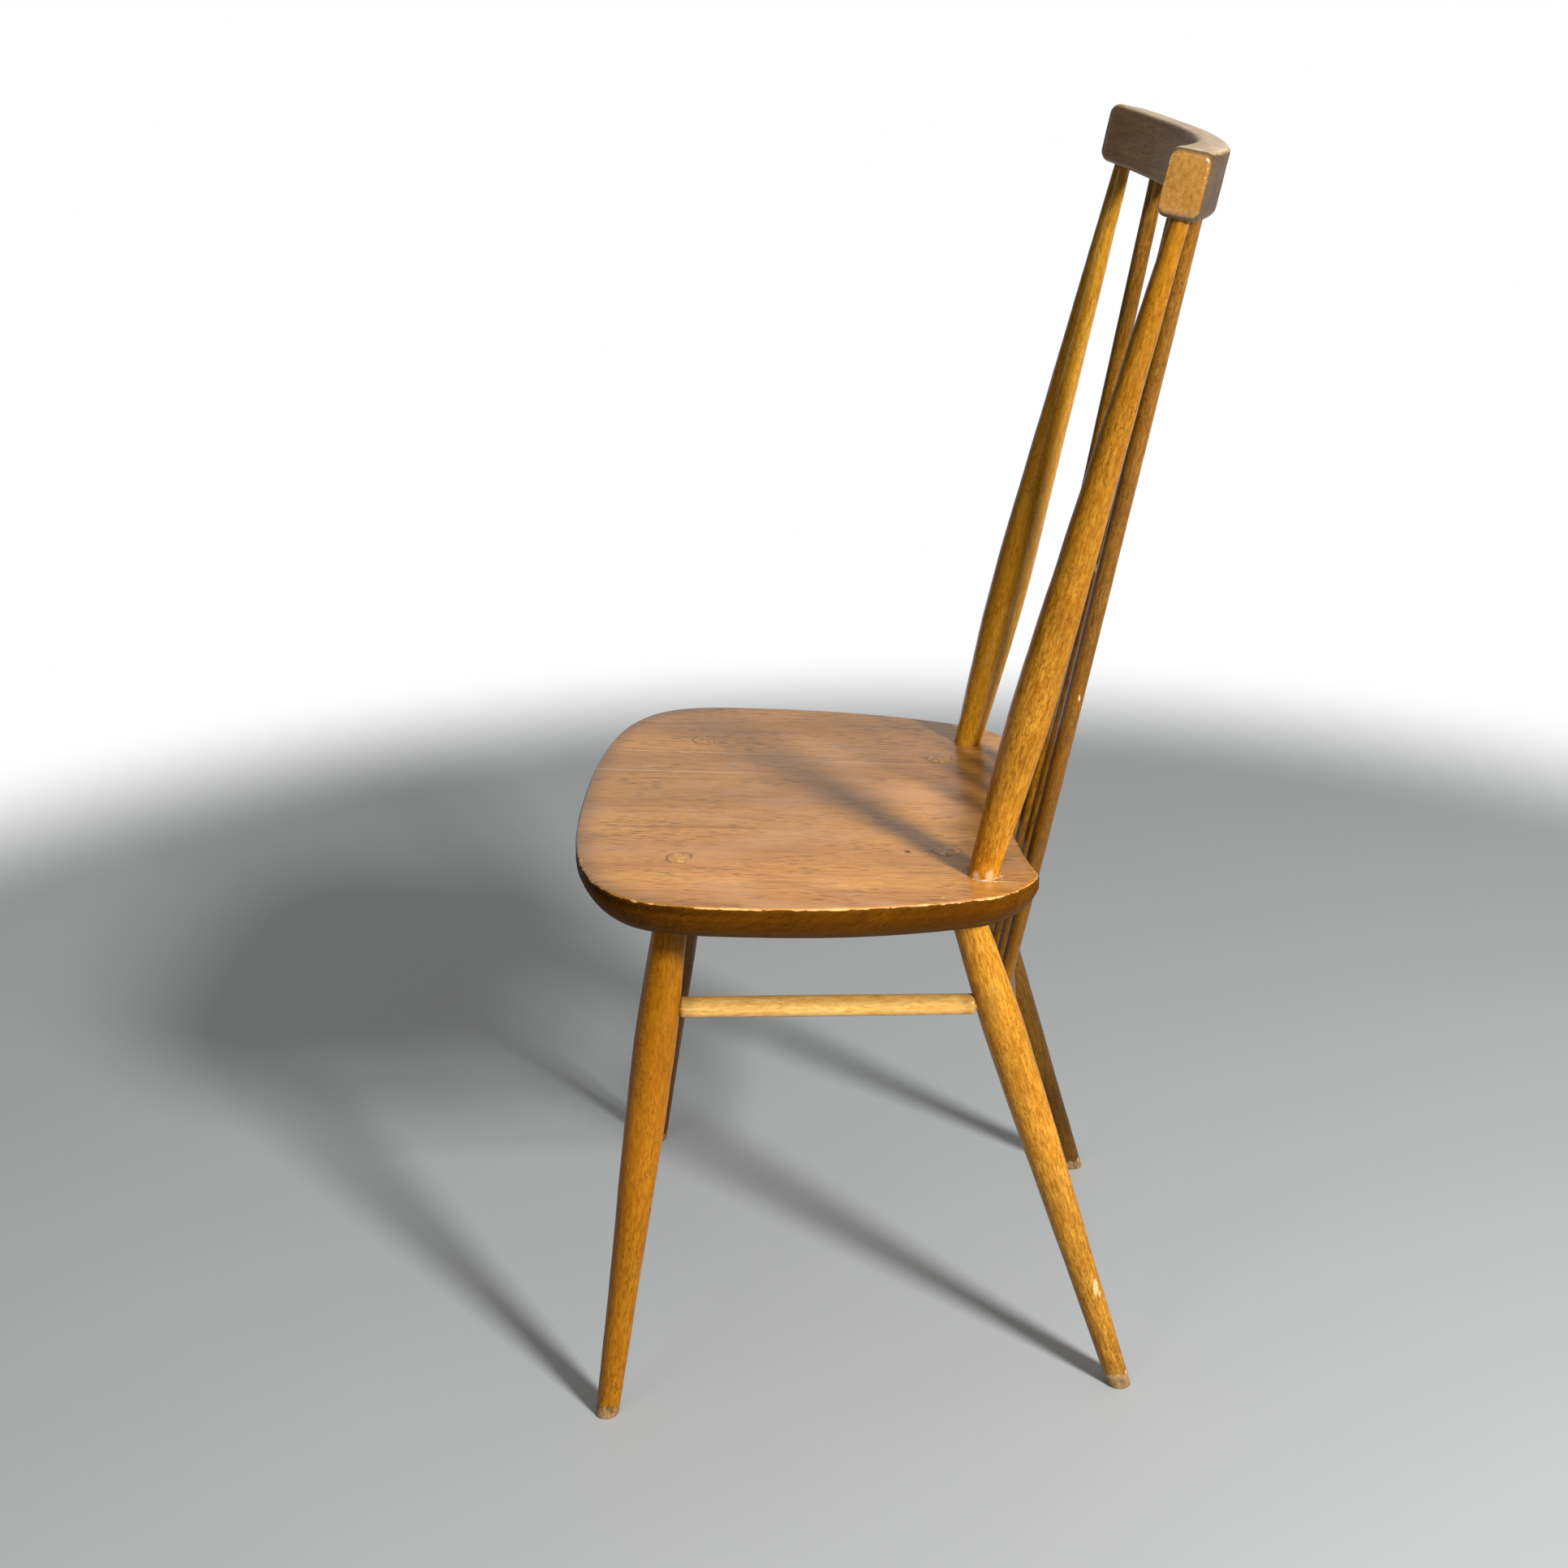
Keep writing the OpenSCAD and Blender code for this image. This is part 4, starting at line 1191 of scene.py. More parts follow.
def make_wedges(making):
    material = end_grain_material()
    up = SEAT_TOP[1]
    for node in WEDGES:
        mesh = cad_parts[node].data.copy()
        mesh.name = node + "_driven"
        work = bmesh.new()
        work.from_mesh(mesh)
        bmesh.ops.remove_doubles(work, verts=work.verts, dist=1e-6)
        for vert in work.verts:
            if (np.array(vert.co) - SEAT_TOP[0]) @ up > -0.5 * MM:
                vert.co += Vector(up * (making.proud + 0.04 * MM))
        bmesh.ops.dissolve_limit(work, angle_limit=math.radians(2), verts=work.verts,
                                 edges=work.edges)
        sharp = [e for e in work.edges if e.calc_face_angle(0) > math.radians(35)]
        bmesh.ops.bevel(work, geom=sharp, offset=0.22 * MM, segments=2, affect="EDGES",
                        profile=0.5)
        work.to_mesh(mesh)
        work.free()
        drop_attributes(mesh, "Color")
        made = piece(node + "_driven", mesh, [material], 40)
        hand_over(made, [node])


def post_line(node):
    return middle_line(node, (0.07 if node.endswith("left") else -0.07, 0.25, 1.0))


POST_CHIPS = (((0.1535, 0.0655, 0.43), (0.005, 0.0028, 0.0032), 3.0),
              ((0.1515, 0.0755, 0.4305), (0.005, 0.004, 0.005), 3.2),
              ((0.1495, 0.0575, 0.4295), (0.005, 0.0022, 0.0018), 3.0))


def make_posts(making):
    finish = bpy.context.scene.chair_finish
    near_post = beech_material("post_beech", finish.beech_pale, finish.beech_deep,
                               stains=0.42, chips=POST_CHIPS)
    far_post = beech_material("olive_post_beech", finish.far_post_pale, finish.far_post_deep,
                              stains=0.3, gloss=0.45)
    up = SEAT_TOP[1]
    base = (SEAT_TOP[0] - 0.1 * MM * up, up)
    top = (COMB_UNDER[0], -COMB_UNDER[1])
    # each row: material, shade, its loss towards the top, bare wood at the foot
    for number, (node, (material, shade, loss, bare)) in enumerate(zip(POSTS, (
            (near_post, 0.9, 0.16, 0.36), (far_post, 1.2, 0.3, 0.26)))):
        line = point, direction = post_line(node)
        profile = leg_profile(node, line, base, top, 4 * MM)
        rings, around = turned_rings(line, profile, making, base,
                                     (top[0] + 0.5 * MM * top[1], top[1]), 140 + number)
        low, high = crossing(line, base), crossing(line, top)
        inside = np.linspace(6, 18, 5) * MM
        blind = typical_radius(node, line, low - inside)
        slim = typical_radius(node, line, high + inside)
        reach = (cad_faces(node).reshape(-1, 3) - point) @ direction
        first, last = reach.min(), reach.max()
        feet, heads = ([point + place * direction + size * around for place, size in bars]
                       for bars in (((first + 0.2 * MM, blind * 0.8), (first + 1.2 * MM, blind),
                                     (low - 4 * MM, blind)),
                                    ((high + 3 * MM, slim), (last - 1.2 * MM, slim),
                                     (last - 0.2 * MM, slim * 0.8))))
        made = piece(node + "_turned", ring_mesh(node + "_turned", [*feet, *rings, *heads]),
                     [material], 50)
        note_bar_grain(made, line, 10 + number)
        points = points_of(made)
        height = (points - SEAT_TOP[0]) @ up
        base_ring = step(-height + waves(points, 0.008, 1.1 * MM, 91 + number), -6 * MM, -1 * MM)
        tone = (shade - loss * step(height, 0.2, 0.42) + 0.42 * np.exp(-height / 0.045)
                - 0.14 * bell(height, 0.17, 0.08) + waves(points, 0.09, 0.06, 95))
        comb_near = step((points - top[0]) @ top[1], -8 * MM, 0.0)
        note_marks(made, tone, 0.1 + bare * base_ring + 0.06 * step(height, 0.2, 0.3),
                   0.14 + 0.22 * base_ring + 0.35 * comb_near, tenon=np.zeros(len(points)))
        hand_over(made, [node])


def turned_bar():
    """Geometry nodes for a slim turned piece: its middle line, with a radius at each point,
    becomes a round bar with slight unevenness"""
    t, take, give = new_group(turned_bar, "GeometryNodeTree", {
        "Middle Line": "shape", "Sides": "count", "Unevenness": "value", "Wave Size": "value",
        "Seed": "value", "Finish": "material"}, {"Bar": "shape"})
    path = t.first("GeometryNodeMeshToCurve", {0: take["Middle Line"]})
    circle = t.first("GeometryNodeCurvePrimitiveCircle", {"Resolution": take["Sides"],
                                                          "Radius": 1.0})
    radius = t.first("GeometryNodeInputNamedAttribute", {"Name": "radius"}, data_type="FLOAT")
    bar = t.first("GeometryNodeCurveToMesh", {"Curve": path, "Profile Curve": circle,
                                              "Scale": radius, "Fill Caps": True})
    wave = t.first("ShaderNodeTexNoise", {
        "Vector": t.first("GeometryNodeInputPosition"), "W": take["Seed"],
        "Scale": take["Wave Size"], "Detail": 2.0}, noise_dimensions="4D")
    shift = t.scaled(t.first("GeometryNodeInputNormal"), t.around_zero(wave, take["Unevenness"]))
    bar = t.first("GeometryNodeSetPosition", {"Geometry": bar, "Offset": shift})
    bar = t.first("GeometryNodeSetShadeSmooth", {"Geometry": bar})
    bar = t.first("GeometryNodeRealizeInstances", {"Geometry": bar})
    bar = t.first("GeometryNodeSetMaterial", {"Geometry": bar, "Material": take["Finish"]})
    return t.give(give, {"Bar": bar})


def grown(name, mesh, tree, values):
    """Mesh that a geometry nodes tree makes from a starting mesh"""
    start = placed(name, mesh)
    nodes = start.modifiers.new("nodes", "NODES")
    nodes.node_group = tree
    for item in tree.interface.items_tree:
        if item.in_out == "INPUT" and item.name in values:
            nodes[item.identifier] = values[item.name]
    start.update_tag()
    return baked(start, name)


def slim_bar(node, rough, material, making, number, sharp_places, scribed=0.0):
    """A stick or stretcher, grown along its CAD middle line with its CAD profile"""
    line = point, direction = middle_line(node, rough)
    ends = (cad_faces(node).reshape(-1, 3) - point) @ direction
    low, high = ends.min(), ends.max()
    places = np.arange(low + 1.5 * MM, high - 1.0 * MM, 1.0 * MM)
    radii = steadied(radius_along(node, line, places))
    stations = [np.arange(low + 1.5 * MM, high - 1.5 * MM, making.stick_step)]
    stations += [place + np.linspace(-3, 3, 25) * MM for place in sharp_places(low, high)]
    stations = np.unique(np.round(np.concatenate(stations), 5))
    stations = stations[(stations > low) & (stations < high)]
    stations = np.concatenate([[low + 0.05 * MM, low + 0.6 * MM], stations,
                               [high - 0.6 * MM, high - 0.05 * MM]])
    # the bar's body is drawn out by a little at each end, as its shoulders are scribed to fit
    middle, half = (low + high) / 2, (high - low) / 2
    radius = np.interp(middle + (stations - middle) * (1 - scribed / half), places, radii)
    radius[[0, -1]] *= 0.86
    mesh = bpy.data.meshes.new(node + "_line")
    mesh.from_pydata([tuple(point + s * direction) for s in stations],
                     [(k, k + 1) for k in range(len(stations) - 1)], [])
    layer = mesh.attributes.new("radius", "FLOAT", "POINT")
    layer.data.foreach_set("value", radius.astype(np.float32))
    done = grown(node + "_turned", mesh, shared(turned_bar), {
        "Sides": making.stick_sides, "Unevenness": 3.2 * making.unevenness,
        "Wave Size": 55.0, "Seed": 3.7 * (number + 1), "Finish": material})
    drop_attributes(done, "radius")
    made = piece(node + "_turned", done, [material], 50)
    note_bar_grain(made, line, 20 + number)
    return made, line, low, high


STICK_CHIPS = (((0.0326, 0.1568, 0.6267), (0.0013, 0.001, 0.004), 2.8),
               ((0.084, 0.143, 0.542), (0.0013, 0.0009, 0.003), 2.8),
               ((0.084, 0.1385, 0.521), (0.0013, 0.0009, 0.002), 2.6))


def make_sticks(making):
    finish = bpy.context.scene.chair_finish
    material = beech_material("stick_beech", finish.beech_pale, finish.beech_deep,
                              stains=0.3, chips=STICK_CHIPS, gloss=0.35)
    for number, node in enumerate(STICKS):
        made, line, low, high = slim_bar(node, (0, 0.22, 1), material, making, number,
                                         lambda low, high: [high - 22.5 * MM])
        points = points_of(made)
        z = points[:, 2]
        comb_near = step((COMB_UNDER[0] - points) @ COMB_UNDER[1], -8 * MM, 0.0)
        foot_near = step(-((points - line[0]) @ line[1] - low), -24 * MM, -16 * MM)
        tone = 0.45 - 0.03 * step(z, 0.6, 0.85) + waves(points, 0.09, 0.06, 97 + number)
        # dirt at the comb and at the rear stretcher, and a painted shadow where the sticks pass
        # behind the seat's back edge
        grime = 0.14 + 0.35 * comb_near + 0.4 * foot_near + 0.25 * bell(z, 0.42, 0.02)
        note_marks(made, tone, 0.1 + 0.06 * np.sin(z * 31 + number), grime,
                   tenon=np.zeros(len(points)))
        hand_over(made, [node])


def make_stretchers(making):
    finish = bpy.context.scene.chair_finish
    material = beech_material("stretcher_beech", finish.rail_pale, finish.rail_deep,
                              stains=0.06, rough=0.3, flecks=0.12)
    for number, node in enumerate(STRETCHERS):
        low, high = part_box(node)
        span = high - low
        rough = (0, 1, -0.05) if span.y > span.x else (1, 0, 0)
        made, line, low, high = slim_bar(node, rough, material, making, 8 + number,
                                         lambda low, high: [low + 16 * MM, high - 16 * MM],
                                         making.scribe)
        points = points_of(made)
        reach = (points - line[0]) @ line[1]
        end_gap = np.minimum(reach - low, high - reach) - 15.4 * MM
        below = (line[0] + reach[:, None] * line[1] - points)[:, 2]
        # painted light and shade: the upper side and the underside darker, leaving a painted
        # highlight band along the middle; darker near the ends, and the rear stretcher darker
        # overall
        tone = ((0.62 if node == "rear_stretcher" else 1.0)
                - 0.34 * step(-below, 0.5 * MM, 6 * MM) - 0.5 * step(below, 5.2 * MM, 7.6 * MM)
                - 0.2 * step(-end_gap, -16 * MM, -6 * MM) + waves(points, 0.09, 0.08, 99 + number))
        note_marks(made, tone, 0.1 + 0.3 * step(-end_gap, -3.5 * MM, -0.5 * MM),
                   0.1 + 0.25 * bell(end_gap, 9 * MM, 7 * MM), tenon=np.zeros(len(points)))
        hand_over(made, [node])


def comb_sizes(making):
    """The comb's frame of axes and its sizes, measured on its CAD node"""
    corners = cad_faces("comb_rail").reshape(-1, 3)
    under, up = COMB_UNDER[0], -COMB_UNDER[1]
    right = np.array([1.0, 0.0, 0.0])
    back = np.cross(up, right)
    tall = ((corners - under) @ up).max()
    cut = cut_points(corners.reshape(-1, 3, 3), under + 0.8 * tall * up, up) - under
    x, y = cut @ right + under[0], cut @ back
    radii, centres = [], []
    bow = y + x ** 2 / (2 * making.comb_bend)
    split = (bow.min() + bow.max()) / 2
    for chosen in (bow > split, bow < split):
        chosen &= np.abs(x) < 0.16
        px, py = x[chosen], y[chosen]
        a, c = np.linalg.lstsq(np.column_stack([py, np.ones(len(py))]), -(px ** 2 + py ** 2),
                               rcond=None)[0]
        centres.append(-a / 2)
        radii.append(math.sqrt(a * a / 4 - c))
    half = float(np.abs(corners[:, 0]).max())
    return (under * (0, 1, 1), right, back, up, sum(radii) / 2, sum(centres) / 2,
            half, tall, radii[0] - radii[1])


def comb_section(at, half, tall, thick, making):
    """Rounded rectangle across the comb at a distance from its middle"""
    corner, rounding, arris = making.comb_corner, making.comb_round, making.comb_arris
    past = max(0.0, abs(at) - (half - corner))
    less = corner - math.sqrt(max(0.0, corner * corner - past * past))
    near_end = max(0.0, abs(at) - (half - arris))
    thin = arris - math.sqrt(max(0.0, arris * arris - near_end * near_end))
    far, low, high = thick / 2 - thin - rounding, less + rounding, tall - less - rounding
    points = np.array([(v + rounding * math.cos(a), w + rounding * math.sin(a))
                       for v, w, start in ((far, low, -90), (far, high, 0), (-far, high, 90),
                                           (-far, low, 180))
                       for a in np.radians(start + np.linspace(0, 90, 9))])
    dense = []
    for k, (a, b) in enumerate(zip(points, np.roll(points, -1, axis=0))):
        # the long flats get 14 steps and the short ones 6
        parts = (14, 6)[k // 9 % 2] if k % 9 == 8 else 1
        dense += [a + (b - a) * t for t in np.arange(parts) / parts]
    return np.array(dense)


def make_comb(making):
    origin, right, back, up, bend, centre, half, tall, thick = comb_sizes(making)
    corner = making.comb_corner
    ends = half - corner * (1 - np.sin(np.linspace(0, math.pi / 2, 14)))
    middle = np.linspace(0, half - corner, 70)[:-1]
    rings = []
    for at in np.concatenate([-ends[::-1], -middle[:0:-1], middle, ends]):
        v, w = comb_section(at, half, tall, thick, making).T
        rings.append(origin + np.outer(np.full(len(v), at), right)
                     + np.outer(centre + np.sqrt((bend + v) ** 2 - at * at), back)
                     + np.outer(w, up))
    caps = (0.2, 0.4, 0.6, 0.8, 0.93)
    grid = np.array([shrink(rings[0], s) for s in caps] + rings
                    + [shrink(rings[-1], s) for s in caps[::-1]])
    flat = grid.reshape(-1, 3)
    inward = flat - (origin + np.outer(flat[:, 0], right) + up * tall / 2
                     + np.outer(centre + np.sqrt(bend ** 2 - flat[:, 0] ** 2), back))
    inward /= np.linalg.norm(inward, axis=1)[:, None] + 1e-9
    moved = (waves(flat, 0.07, 0.14 * MM, 302) + waves(flat, 0.018, 0.05 * MM, 303)
             - knocks(flat, 301, 26, (1.0, 3.0), (0.1, 0.45)))
    flat = flat + inward * (moved * (np.abs(flat[:, 0]) < half - 0.2 * MM))[:, None]
    made = piece("comb_bent", ring_mesh("comb_bent", flat.reshape(grid.shape)),
                 [comb_material()], 40)
    points = points_of(made)
    across_half = np.abs(points[:, 0])
    arc = bend * np.arcsin(np.clip(points[:, 0] / bend, -1, 1))
    depth = np.hypot(points[:, 0], (points - origin) @ back - centre) - bend
    height = (points - origin) @ up
    note(made, "wood", np.column_stack([depth, height, arc]) + (7.3, 5.1, 3.9))
    end_face = step(across_half, half - 1.6 * MM, half - 0.4 * MM)
    top = step(height, tall - 2.6 * MM, tall - 0.8 * MM)
    behind = step(depth, thick / 2 - 2.5 * MM, thick / 2 - 1 * MM)
    near_end = step(across_half, half - 7 * MM, half - 4 * MM) * (1 - behind)
    # a darker line just inside the end's arris, in the tone and in the grime share
    outline = bell(across_half, half - 2.6 * MM, 1.3 * MM)
    # painted shade: the back face darker, except on the end
    tone = (1.15 - 0.72 * behind * (1 - end_face) - 0.55 * outline * (1 - behind)
            + waves(points, 0.05, 0.06, 305))
    to_face = thick / 2 - np.abs(depth)
    to_side = np.minimum(height, tall - height)
    arrises = bell(to_face, 1.3 * MM, 1.3 * MM) * bell(to_side, 1.3 * MM, 1.6 * MM)
    # the pale rim round the end face: partly bare wood, partly a painted highlight on the end's
    # arris
    rim = end_face * bell(np.minimum(to_face, to_side), 1.3 * MM, 1.1 * MM)
    wear = (0.12 + 0.28 * arrises * (height > tall / 2) + 0.12 * arrises + 0.3 * rim
            + 0.12 * bell(across_half, half - 0.8 * MM, 0.8 * MM) + waves(points, 0.03, 0.05, 304))
    note_marks(made, tone, wear, 0.16 + 0.3 * step(-height, -3 * MM, 0.5 * MM) + 0.8 * outline,
               ends=end_face, top=top, gloss=np.maximum(near_end, 0.25 * top))
    hand_over(made, ["comb_rail"])


def glue_crumbs():
    """Geometry nodes that scatter small flat crumbs over a patch"""
    t, take, give = new_group(glue_crumbs, "GeometryNodeTree", {
        "Patch": "shape", "Density": "value", "Smallest": "value", "Largest": "value",
        "Seed": "count", "Finish": "material"}, {"Crumbs": "shape"})
    seed = take["Seed"]
    spots = t.first("GeometryNodeDistributePointsOnFaces", {
        "Mesh": take["Patch"], "Density": take["Density"], "Seed": seed})
    crumb = t.first("GeometryNodeMeshIcoSphere", {"Radius": 1.0, "Subdivisions": 2})
    size = t.add("FunctionNodeRandomValue", {2: take["Smallest"], 3: take["Largest"], 8: seed},
                 data_type="FLOAT").outputs[1]
    shape, turn = (t.first("FunctionNodeRandomValue", {0: low, 1: high, 8: seed},
                           data_type="FLOAT_VECTOR")
                   for low, high in (((0.3, 1.0, 0.2), (0.8, 4.5, 0.4)),
                                     ((-0.2, -0.2, 0.0), (0.2, 0.2, 6.28))))
    crumbs = t.first("GeometryNodeInstanceOnPoints", {
        "Points": spots, "Instance": crumb, "Scale": t.scaled(shape, size),
        "Rotation": t.first("FunctionNodeEulerToRotation", {0: turn})})
    crumbs = t.first("GeometryNodeRealizeInstances", {0: crumbs})
    crumbs = t.first("GeometryNodeSetMaterial", {"Geometry": crumbs, "Material": take["Finish"]})
    return t.give(give, {"Crumbs": crumbs})


def glue_bead(spot, slope, side, front, up):
    """Ragged ring of glue round a post, as a closed tube"""
    turn = 2 * math.pi * np.arange(90) / 90
    bead = (0.35 + 0.28 * np.sin(3 * turn + 1) + 0.22 * np.sin(7 * turn)
            + 0.16 * np.sin(17 * turn + 2))
    bead = np.clip(bead, 0.12, 1) * 1.1 * MM
    stretched = 1 + 0.03 * np.cos(turn - math.atan2(slope @ front, slope @ side)) ** 2
    rings = []
    for part in np.linspace(0, 2 * math.pi, 9)[:-1]:
        away = POST_FOOT_RADIUS + 0.1 * MM + bead * math.cos(part) * 0.8
        high = 0.03 * MM + bead * math.sin(part) * 0.8
        rings.append(spot + (np.cos(turn) * away * stretched)[:, None] * side
                     + (np.sin(turn) * away * stretched)[:, None] * front + np.outer(high, up))
    rings = np.array(rings).transpose(1, 0, 2)
    rows, sides = rings.shape[:2]

    def corner(row, k):
        return row % rows * sides + k % sides
    mesh = bpy.data.meshes.new("glue_bead_left")
    mesh.from_pydata(rings.reshape(-1, 3).tolist(), [], [
        (corner(row, k), corner(row, k + 1), corner(row + 1, k + 1), corner(row + 1, k))
        for row in range(rows) for k in range(sides)])
    return mesh


def glue_patch(spot, side, front, up):
    """Flat ring of the seat round a post, on which the crumbs lie"""
    corners, quads = [], []
    for k in range(24):
        angle = 2 * math.pi * k / 24
        out = np.cos(angle) * side + np.sin(angle) * front
        corners += [tuple(spot + away * MM * out + 0.06 * MM * up)
                    for away in (11.6, 15.5 + 3.5 * math.sin(2 * angle))]
        quads.append((2 * k, 2 * k + 1, (2 * k + 3) % 48, (2 * k + 2) % 48))
    mesh = bpy.data.meshes.new("patch")
    mesh.from_pydata(corners, [], quads)
    return mesh


def make_residue(making):
    """Dried glue round the left post's foot: a ragged bead and crumbs on the seat"""
    material = glue_material()
    up = SEAT_TOP[1]
    line = post_line("back_post_left")
    spot = meeting(line, SEAT_TOP)
    side = np.array([1.0, 0, 0])
    front = np.cross(up, side)
    slope = line[1] - (line[1] @ up) * up
    crumbs = grown("glue_crumbs_left", glue_patch(spot, side, front, up), shared(glue_crumbs), {
        "Density": 240000.0, "Smallest": 0.1 * MM, "Largest": 0.5 * MM, "Seed": 5,
        "Finish": material})
    for mesh in (glue_bead(spot, slope, side, front, up), crumbs):
        hand_over(piece(mesh.name, mesh, [material], 60), [])


# ---------- stage ----------

def floor_material(stage):
    """Pale floor that turns white far from the chair"""
    material, t, shader = new_material("studio_floor")
    place = t.place()
    cloud = t.noise(place, 1.6, detail=4, rough=0.6)
    fine = t.noise(place, 90, detail=3, rough=0.7)
    tone = t.plus(t.around_zero(cloud, 0.5), t.around_zero(fine, 0.12))
    coloured = t.mix(t.plus(tone, 0.5), paint([c * 0.93 for c in stage.floor_colour]),
                     paint([min(1, c * 1.07) for c in stage.floor_colour]))
    t.link(coloured, shader.inputs["Base Color"])
    shader.inputs["Roughness"].default_value = 0.55
    away = t.distance(t.vectors("MULTIPLY", place, (1, 1, 0)))
    fade = t.step(away, 0.72 * stage.floor_reach, stage.floor_reach)
    path = t.add("ShaderNodeLightPath").outputs
    seen = t.sum("MAXIMUM", path["Is Camera Ray"], path["Is Glossy Ray"])
    glow = t.first("ShaderNodeEmission", {"Color": paint(WHITE), "Strength": 1.0})
    both = t.first("ShaderNodeMixShader", {0: t.times(fade, seen), 1: shader.outputs[0], 2: glow})
    # seen from below, the floor is clear, so that it doesn't hide the chair
    below = t.times(t.add("ShaderNodeNewGeometry").outputs["Backfacing"], path["Is Camera Ray"])
    clear = t.first("ShaderNodeBsdfTransparent")
    shown = t.first("ShaderNodeMixShader", {0: below, 1: both, 2: clear})
    output = next(n for n in t.tree.nodes if n.type == "OUTPUT_MATERIAL")
    t.link(shown, output.inputs["Surface"])
    return material


def add_lamp(name, place, aim, watts, size):
    lamp = bpy.data.lights.new(name, "AREA")
    lamp.energy, lamp.size, lamp.shape = watts, size, "DISK"
    made = placed(name, lamp)
    place = Vector(place)
    made.matrix_world = Matrix.Translation(place) @ (
        place - Vector(aim)).to_track_quat("Z", "Y").to_matrix().to_4x4()
    made.visible_camera = False


def add_floor(stage):
    """Round floor with its middle under the chair"""
    reach, sides = 2.6 * stage.floor_reach, 96
    points = [(0, 0, 0)] + [(reach * r * math.cos(a), reach * r * math.sin(a), 0)
                            for r in (0.1, 0.4, 0.7, 1.0)
                            for a in np.linspace(0, 2 * math.pi, sides + 1)[:-1]]
    faces = [(0, 1 + k, 1 + (k + 1) % sides) for k in range(sides)]
    for row in range(1, 3 * sides, sides):
        for k in range(sides):
            a, b = row + k, row + (k + 1) % sides
            faces.append((a, a + sides, b + sides, b))
    mesh = bpy.data.meshes.new("studio_floor")
    mesh.from_pydata(points, [], faces)
    mesh.materials.append(floor_material(stage))
    placed("studio_floor", mesh)


def set_world(stage):
    """White background, room light from above and a pale wall that varnish reflects"""
    world = bpy.data.worlds.new("studio_world")
    bpy.context.scene.world = world
    world.use_nodes = True
    t = Tree(world.node_tree)
    ground = world.node_tree.nodes["Background"]
    path = t.add("ShaderNodeLightPath").outputs
    way = t.add("ShaderNodeSeparateXYZ", {0: t.add("ShaderNodeTexCoord").outputs["Generated"]})
    wall = t.step(way.outputs[0], -0.35, -0.85, stage.dark_glow, stage.wall_glow)
    room = t.times(t.step(way.outputs[2], -0.1, 0.8, 0.25, 1.0), stage.room_light)
    room = t.times(room, t.step(way.outputs[1], -0.8, 0.6, 0.5, 1.3))
    light = t.sum("MAXIMUM", path["Is Camera Ray"], path["Is Transmission Ray"])
    for ray, strength in (("Is Glossy Ray", wall), ("Is Diffuse Ray", room)):
        light = t.sum("MAXIMUM", light, t.times(path[ray], strength))
    ground.inputs["Color"].default_value = paint(WHITE)
    t.link(light, ground.inputs["Strength"])


def set_camera(stage):
    view = bpy.data.cameras.new("studio_camera")
    view.sensor_width, view.lens = 36, stage.lens
    camera = placed("studio_camera", view)
    forward = Vector((-math.cos(stage.heading) * math.cos(stage.dip),
                      math.sin(stage.heading) * math.cos(stage.dip), -math.sin(stage.dip)))
    right = Vector((math.sin(stage.heading), math.cos(stage.heading), 0))
    up = right.cross(forward)
    across_view = right * math.cos(stage.cant) + up * math.sin(stage.cant)
    up_view = up * math.cos(stage.cant) - right * math.sin(stage.cant)
    turn = Matrix((across_view, up_view, -forward)).transposed().to_4x4()
    camera.matrix_world = Matrix.Translation(Vector(stage.eye)) @ turn
    bpy.context.scene.camera = camera


def set_stage(stage):
    add_floor(stage)
    add_lamp("key_lamp", stage.key_place, stage.lamp_aim, stage.key_power, stage.key_size)
    add_lamp("fill_lamp", stage.fill_place, stage.lamp_aim, stage.fill_power,
             stage.fill_size)
    set_world(stage)
    set_camera(stage)
    bpy.context.scene.view_settings.view_transform = "Standard"


# ---------- operators and panel ----------

class ChairStep:
    """What the operators share: each runs its own work on its own settings"""
    settings = "chair_making"

    def execute(self, context):
        self.work(getattr(context.scene, self.settings))
        return {"FINISHED"}


class MakeSeat(ChairStep, bpy.types.Operator):
    """Makes the solid seat board with its worn arris, tenon holes, nail hole and crack"""
    bl_idname = "chair.make_seat"
    bl_label = "Seat"
    work = staticmethod(make_seat)


class MakeLegs(ChairStep, bpy.types.Operator):
    """Makes the four turned legs with their tenons and worn feet"""
    bl_idname = "chair.make_legs"
    bl_label = "Legs"
    work = staticmethod(make_legs)


class MakeWedges(ChairStep, bpy.types.Operator):
    """Makes the wedges driven into the legs' tenons"""
    bl_idname = "chair.make_wedges"
    bl_label = "Wedges"
    work = staticmethod(make_wedges)


class MakeStretchers(ChairStep, bpy.types.Operator):
    """Makes the side and rear stretchers"""
    bl_idname = "chair.make_stretchers"
    bl_label = "Stretchers"
    work = staticmethod(make_stretchers)


class MakePosts(ChairStep, bpy.types.Operator):
    """Makes the two turned back posts"""
    bl_idname = "chair.make_posts"
    bl_label = "Back posts"
    work = staticmethod(make_posts)


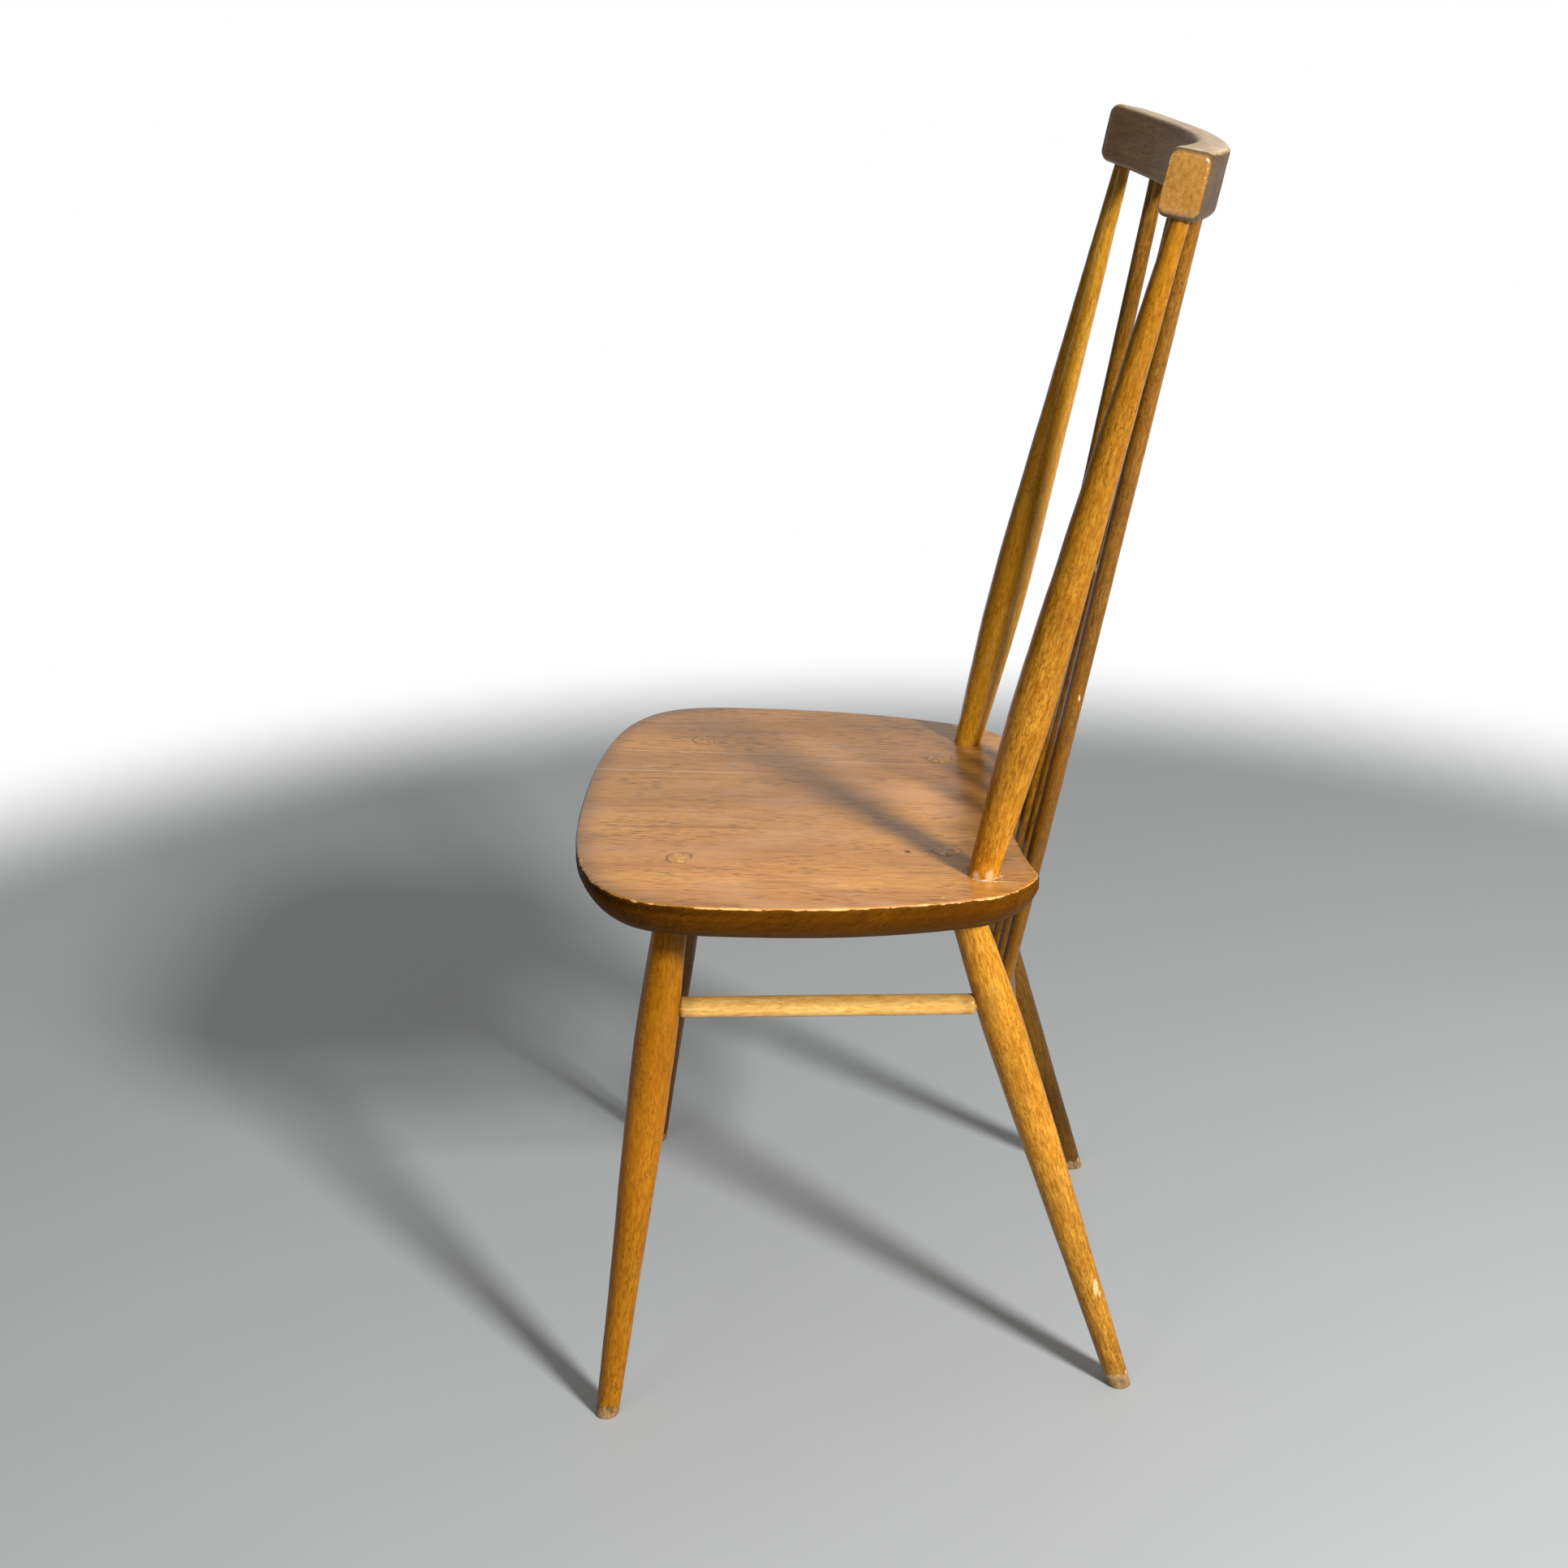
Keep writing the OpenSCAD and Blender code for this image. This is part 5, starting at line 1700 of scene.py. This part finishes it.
class MakeSticks(ChairStep, bpy.types.Operator):
    """Makes the four back sticks"""
    bl_idname = "chair.make_sticks"
    bl_label = "Back sticks"
    work = staticmethod(make_sticks)


class MakeComb(ChairStep, bpy.types.Operator):
    """Makes the bent comb rail"""
    bl_idname = "chair.make_comb"
    bl_label = "Comb"
    work = staticmethod(make_comb)


class MakeResidue(ChairStep, bpy.types.Operator):
    """Makes the dried glue round the left post's foot"""
    bl_idname = "chair.make_residue"
    bl_label = "Old glue"
    work = staticmethod(make_residue)


class SetStage(ChairStep, bpy.types.Operator):
    """Sets the floor, lamps, background and camera"""
    bl_idname = "chair.set_stage"
    bl_label = "Stage"
    settings = "chair_stage"
    work = staticmethod(set_stage)


OPERATORS = (MakeSeat, MakeLegs, MakeWedges, MakeStretchers, MakePosts, MakeSticks, MakeComb,
             MakeResidue, SetStage)


class ChairPanel(bpy.types.Panel):
    """Lists the chair's pieces and its stage"""
    bl_idname = "VIEW3D_PT_worn_chair"
    bl_label = "Worn chair"
    bl_space_type = "VIEW_3D"
    bl_region_type = "UI"
    bl_category = "Chair"

    def draw(self, context):
        for operator in OPERATORS:
            self.layout.operator(operator.bl_idname)
        for group in (context.scene.chair_making, context.scene.chair_finish,
                      context.scene.chair_stage):
            box = self.layout.box()
            for name in group.__annotations__:
                box.prop(group, name)


CLASSES = (ChairMaking, ChairFinish, StudioStage, *OPERATORS, ChairPanel)


def register():
    for group in CLASSES:
        bpy.utils.register_class(group)
    bpy.types.Scene.chair_making = bpy.props.PointerProperty(type=ChairMaking)
    bpy.types.Scene.chair_finish = bpy.props.PointerProperty(type=ChairFinish)
    bpy.types.Scene.chair_stage = bpy.props.PointerProperty(type=StudioStage)


def unregister():
    for name in ("chair_making", "chair_finish", "chair_stage"):
        delattr(bpy.types.Scene, name)
    for group in reversed(CLASSES):
        bpy.utils.unregister_class(group)


def main():
    register()
    for operator in OPERATORS:
        category, name = operator.bl_idname.split(".")
        getattr(getattr(bpy.ops, category), name)()


if __name__ == "__main__":
    main()
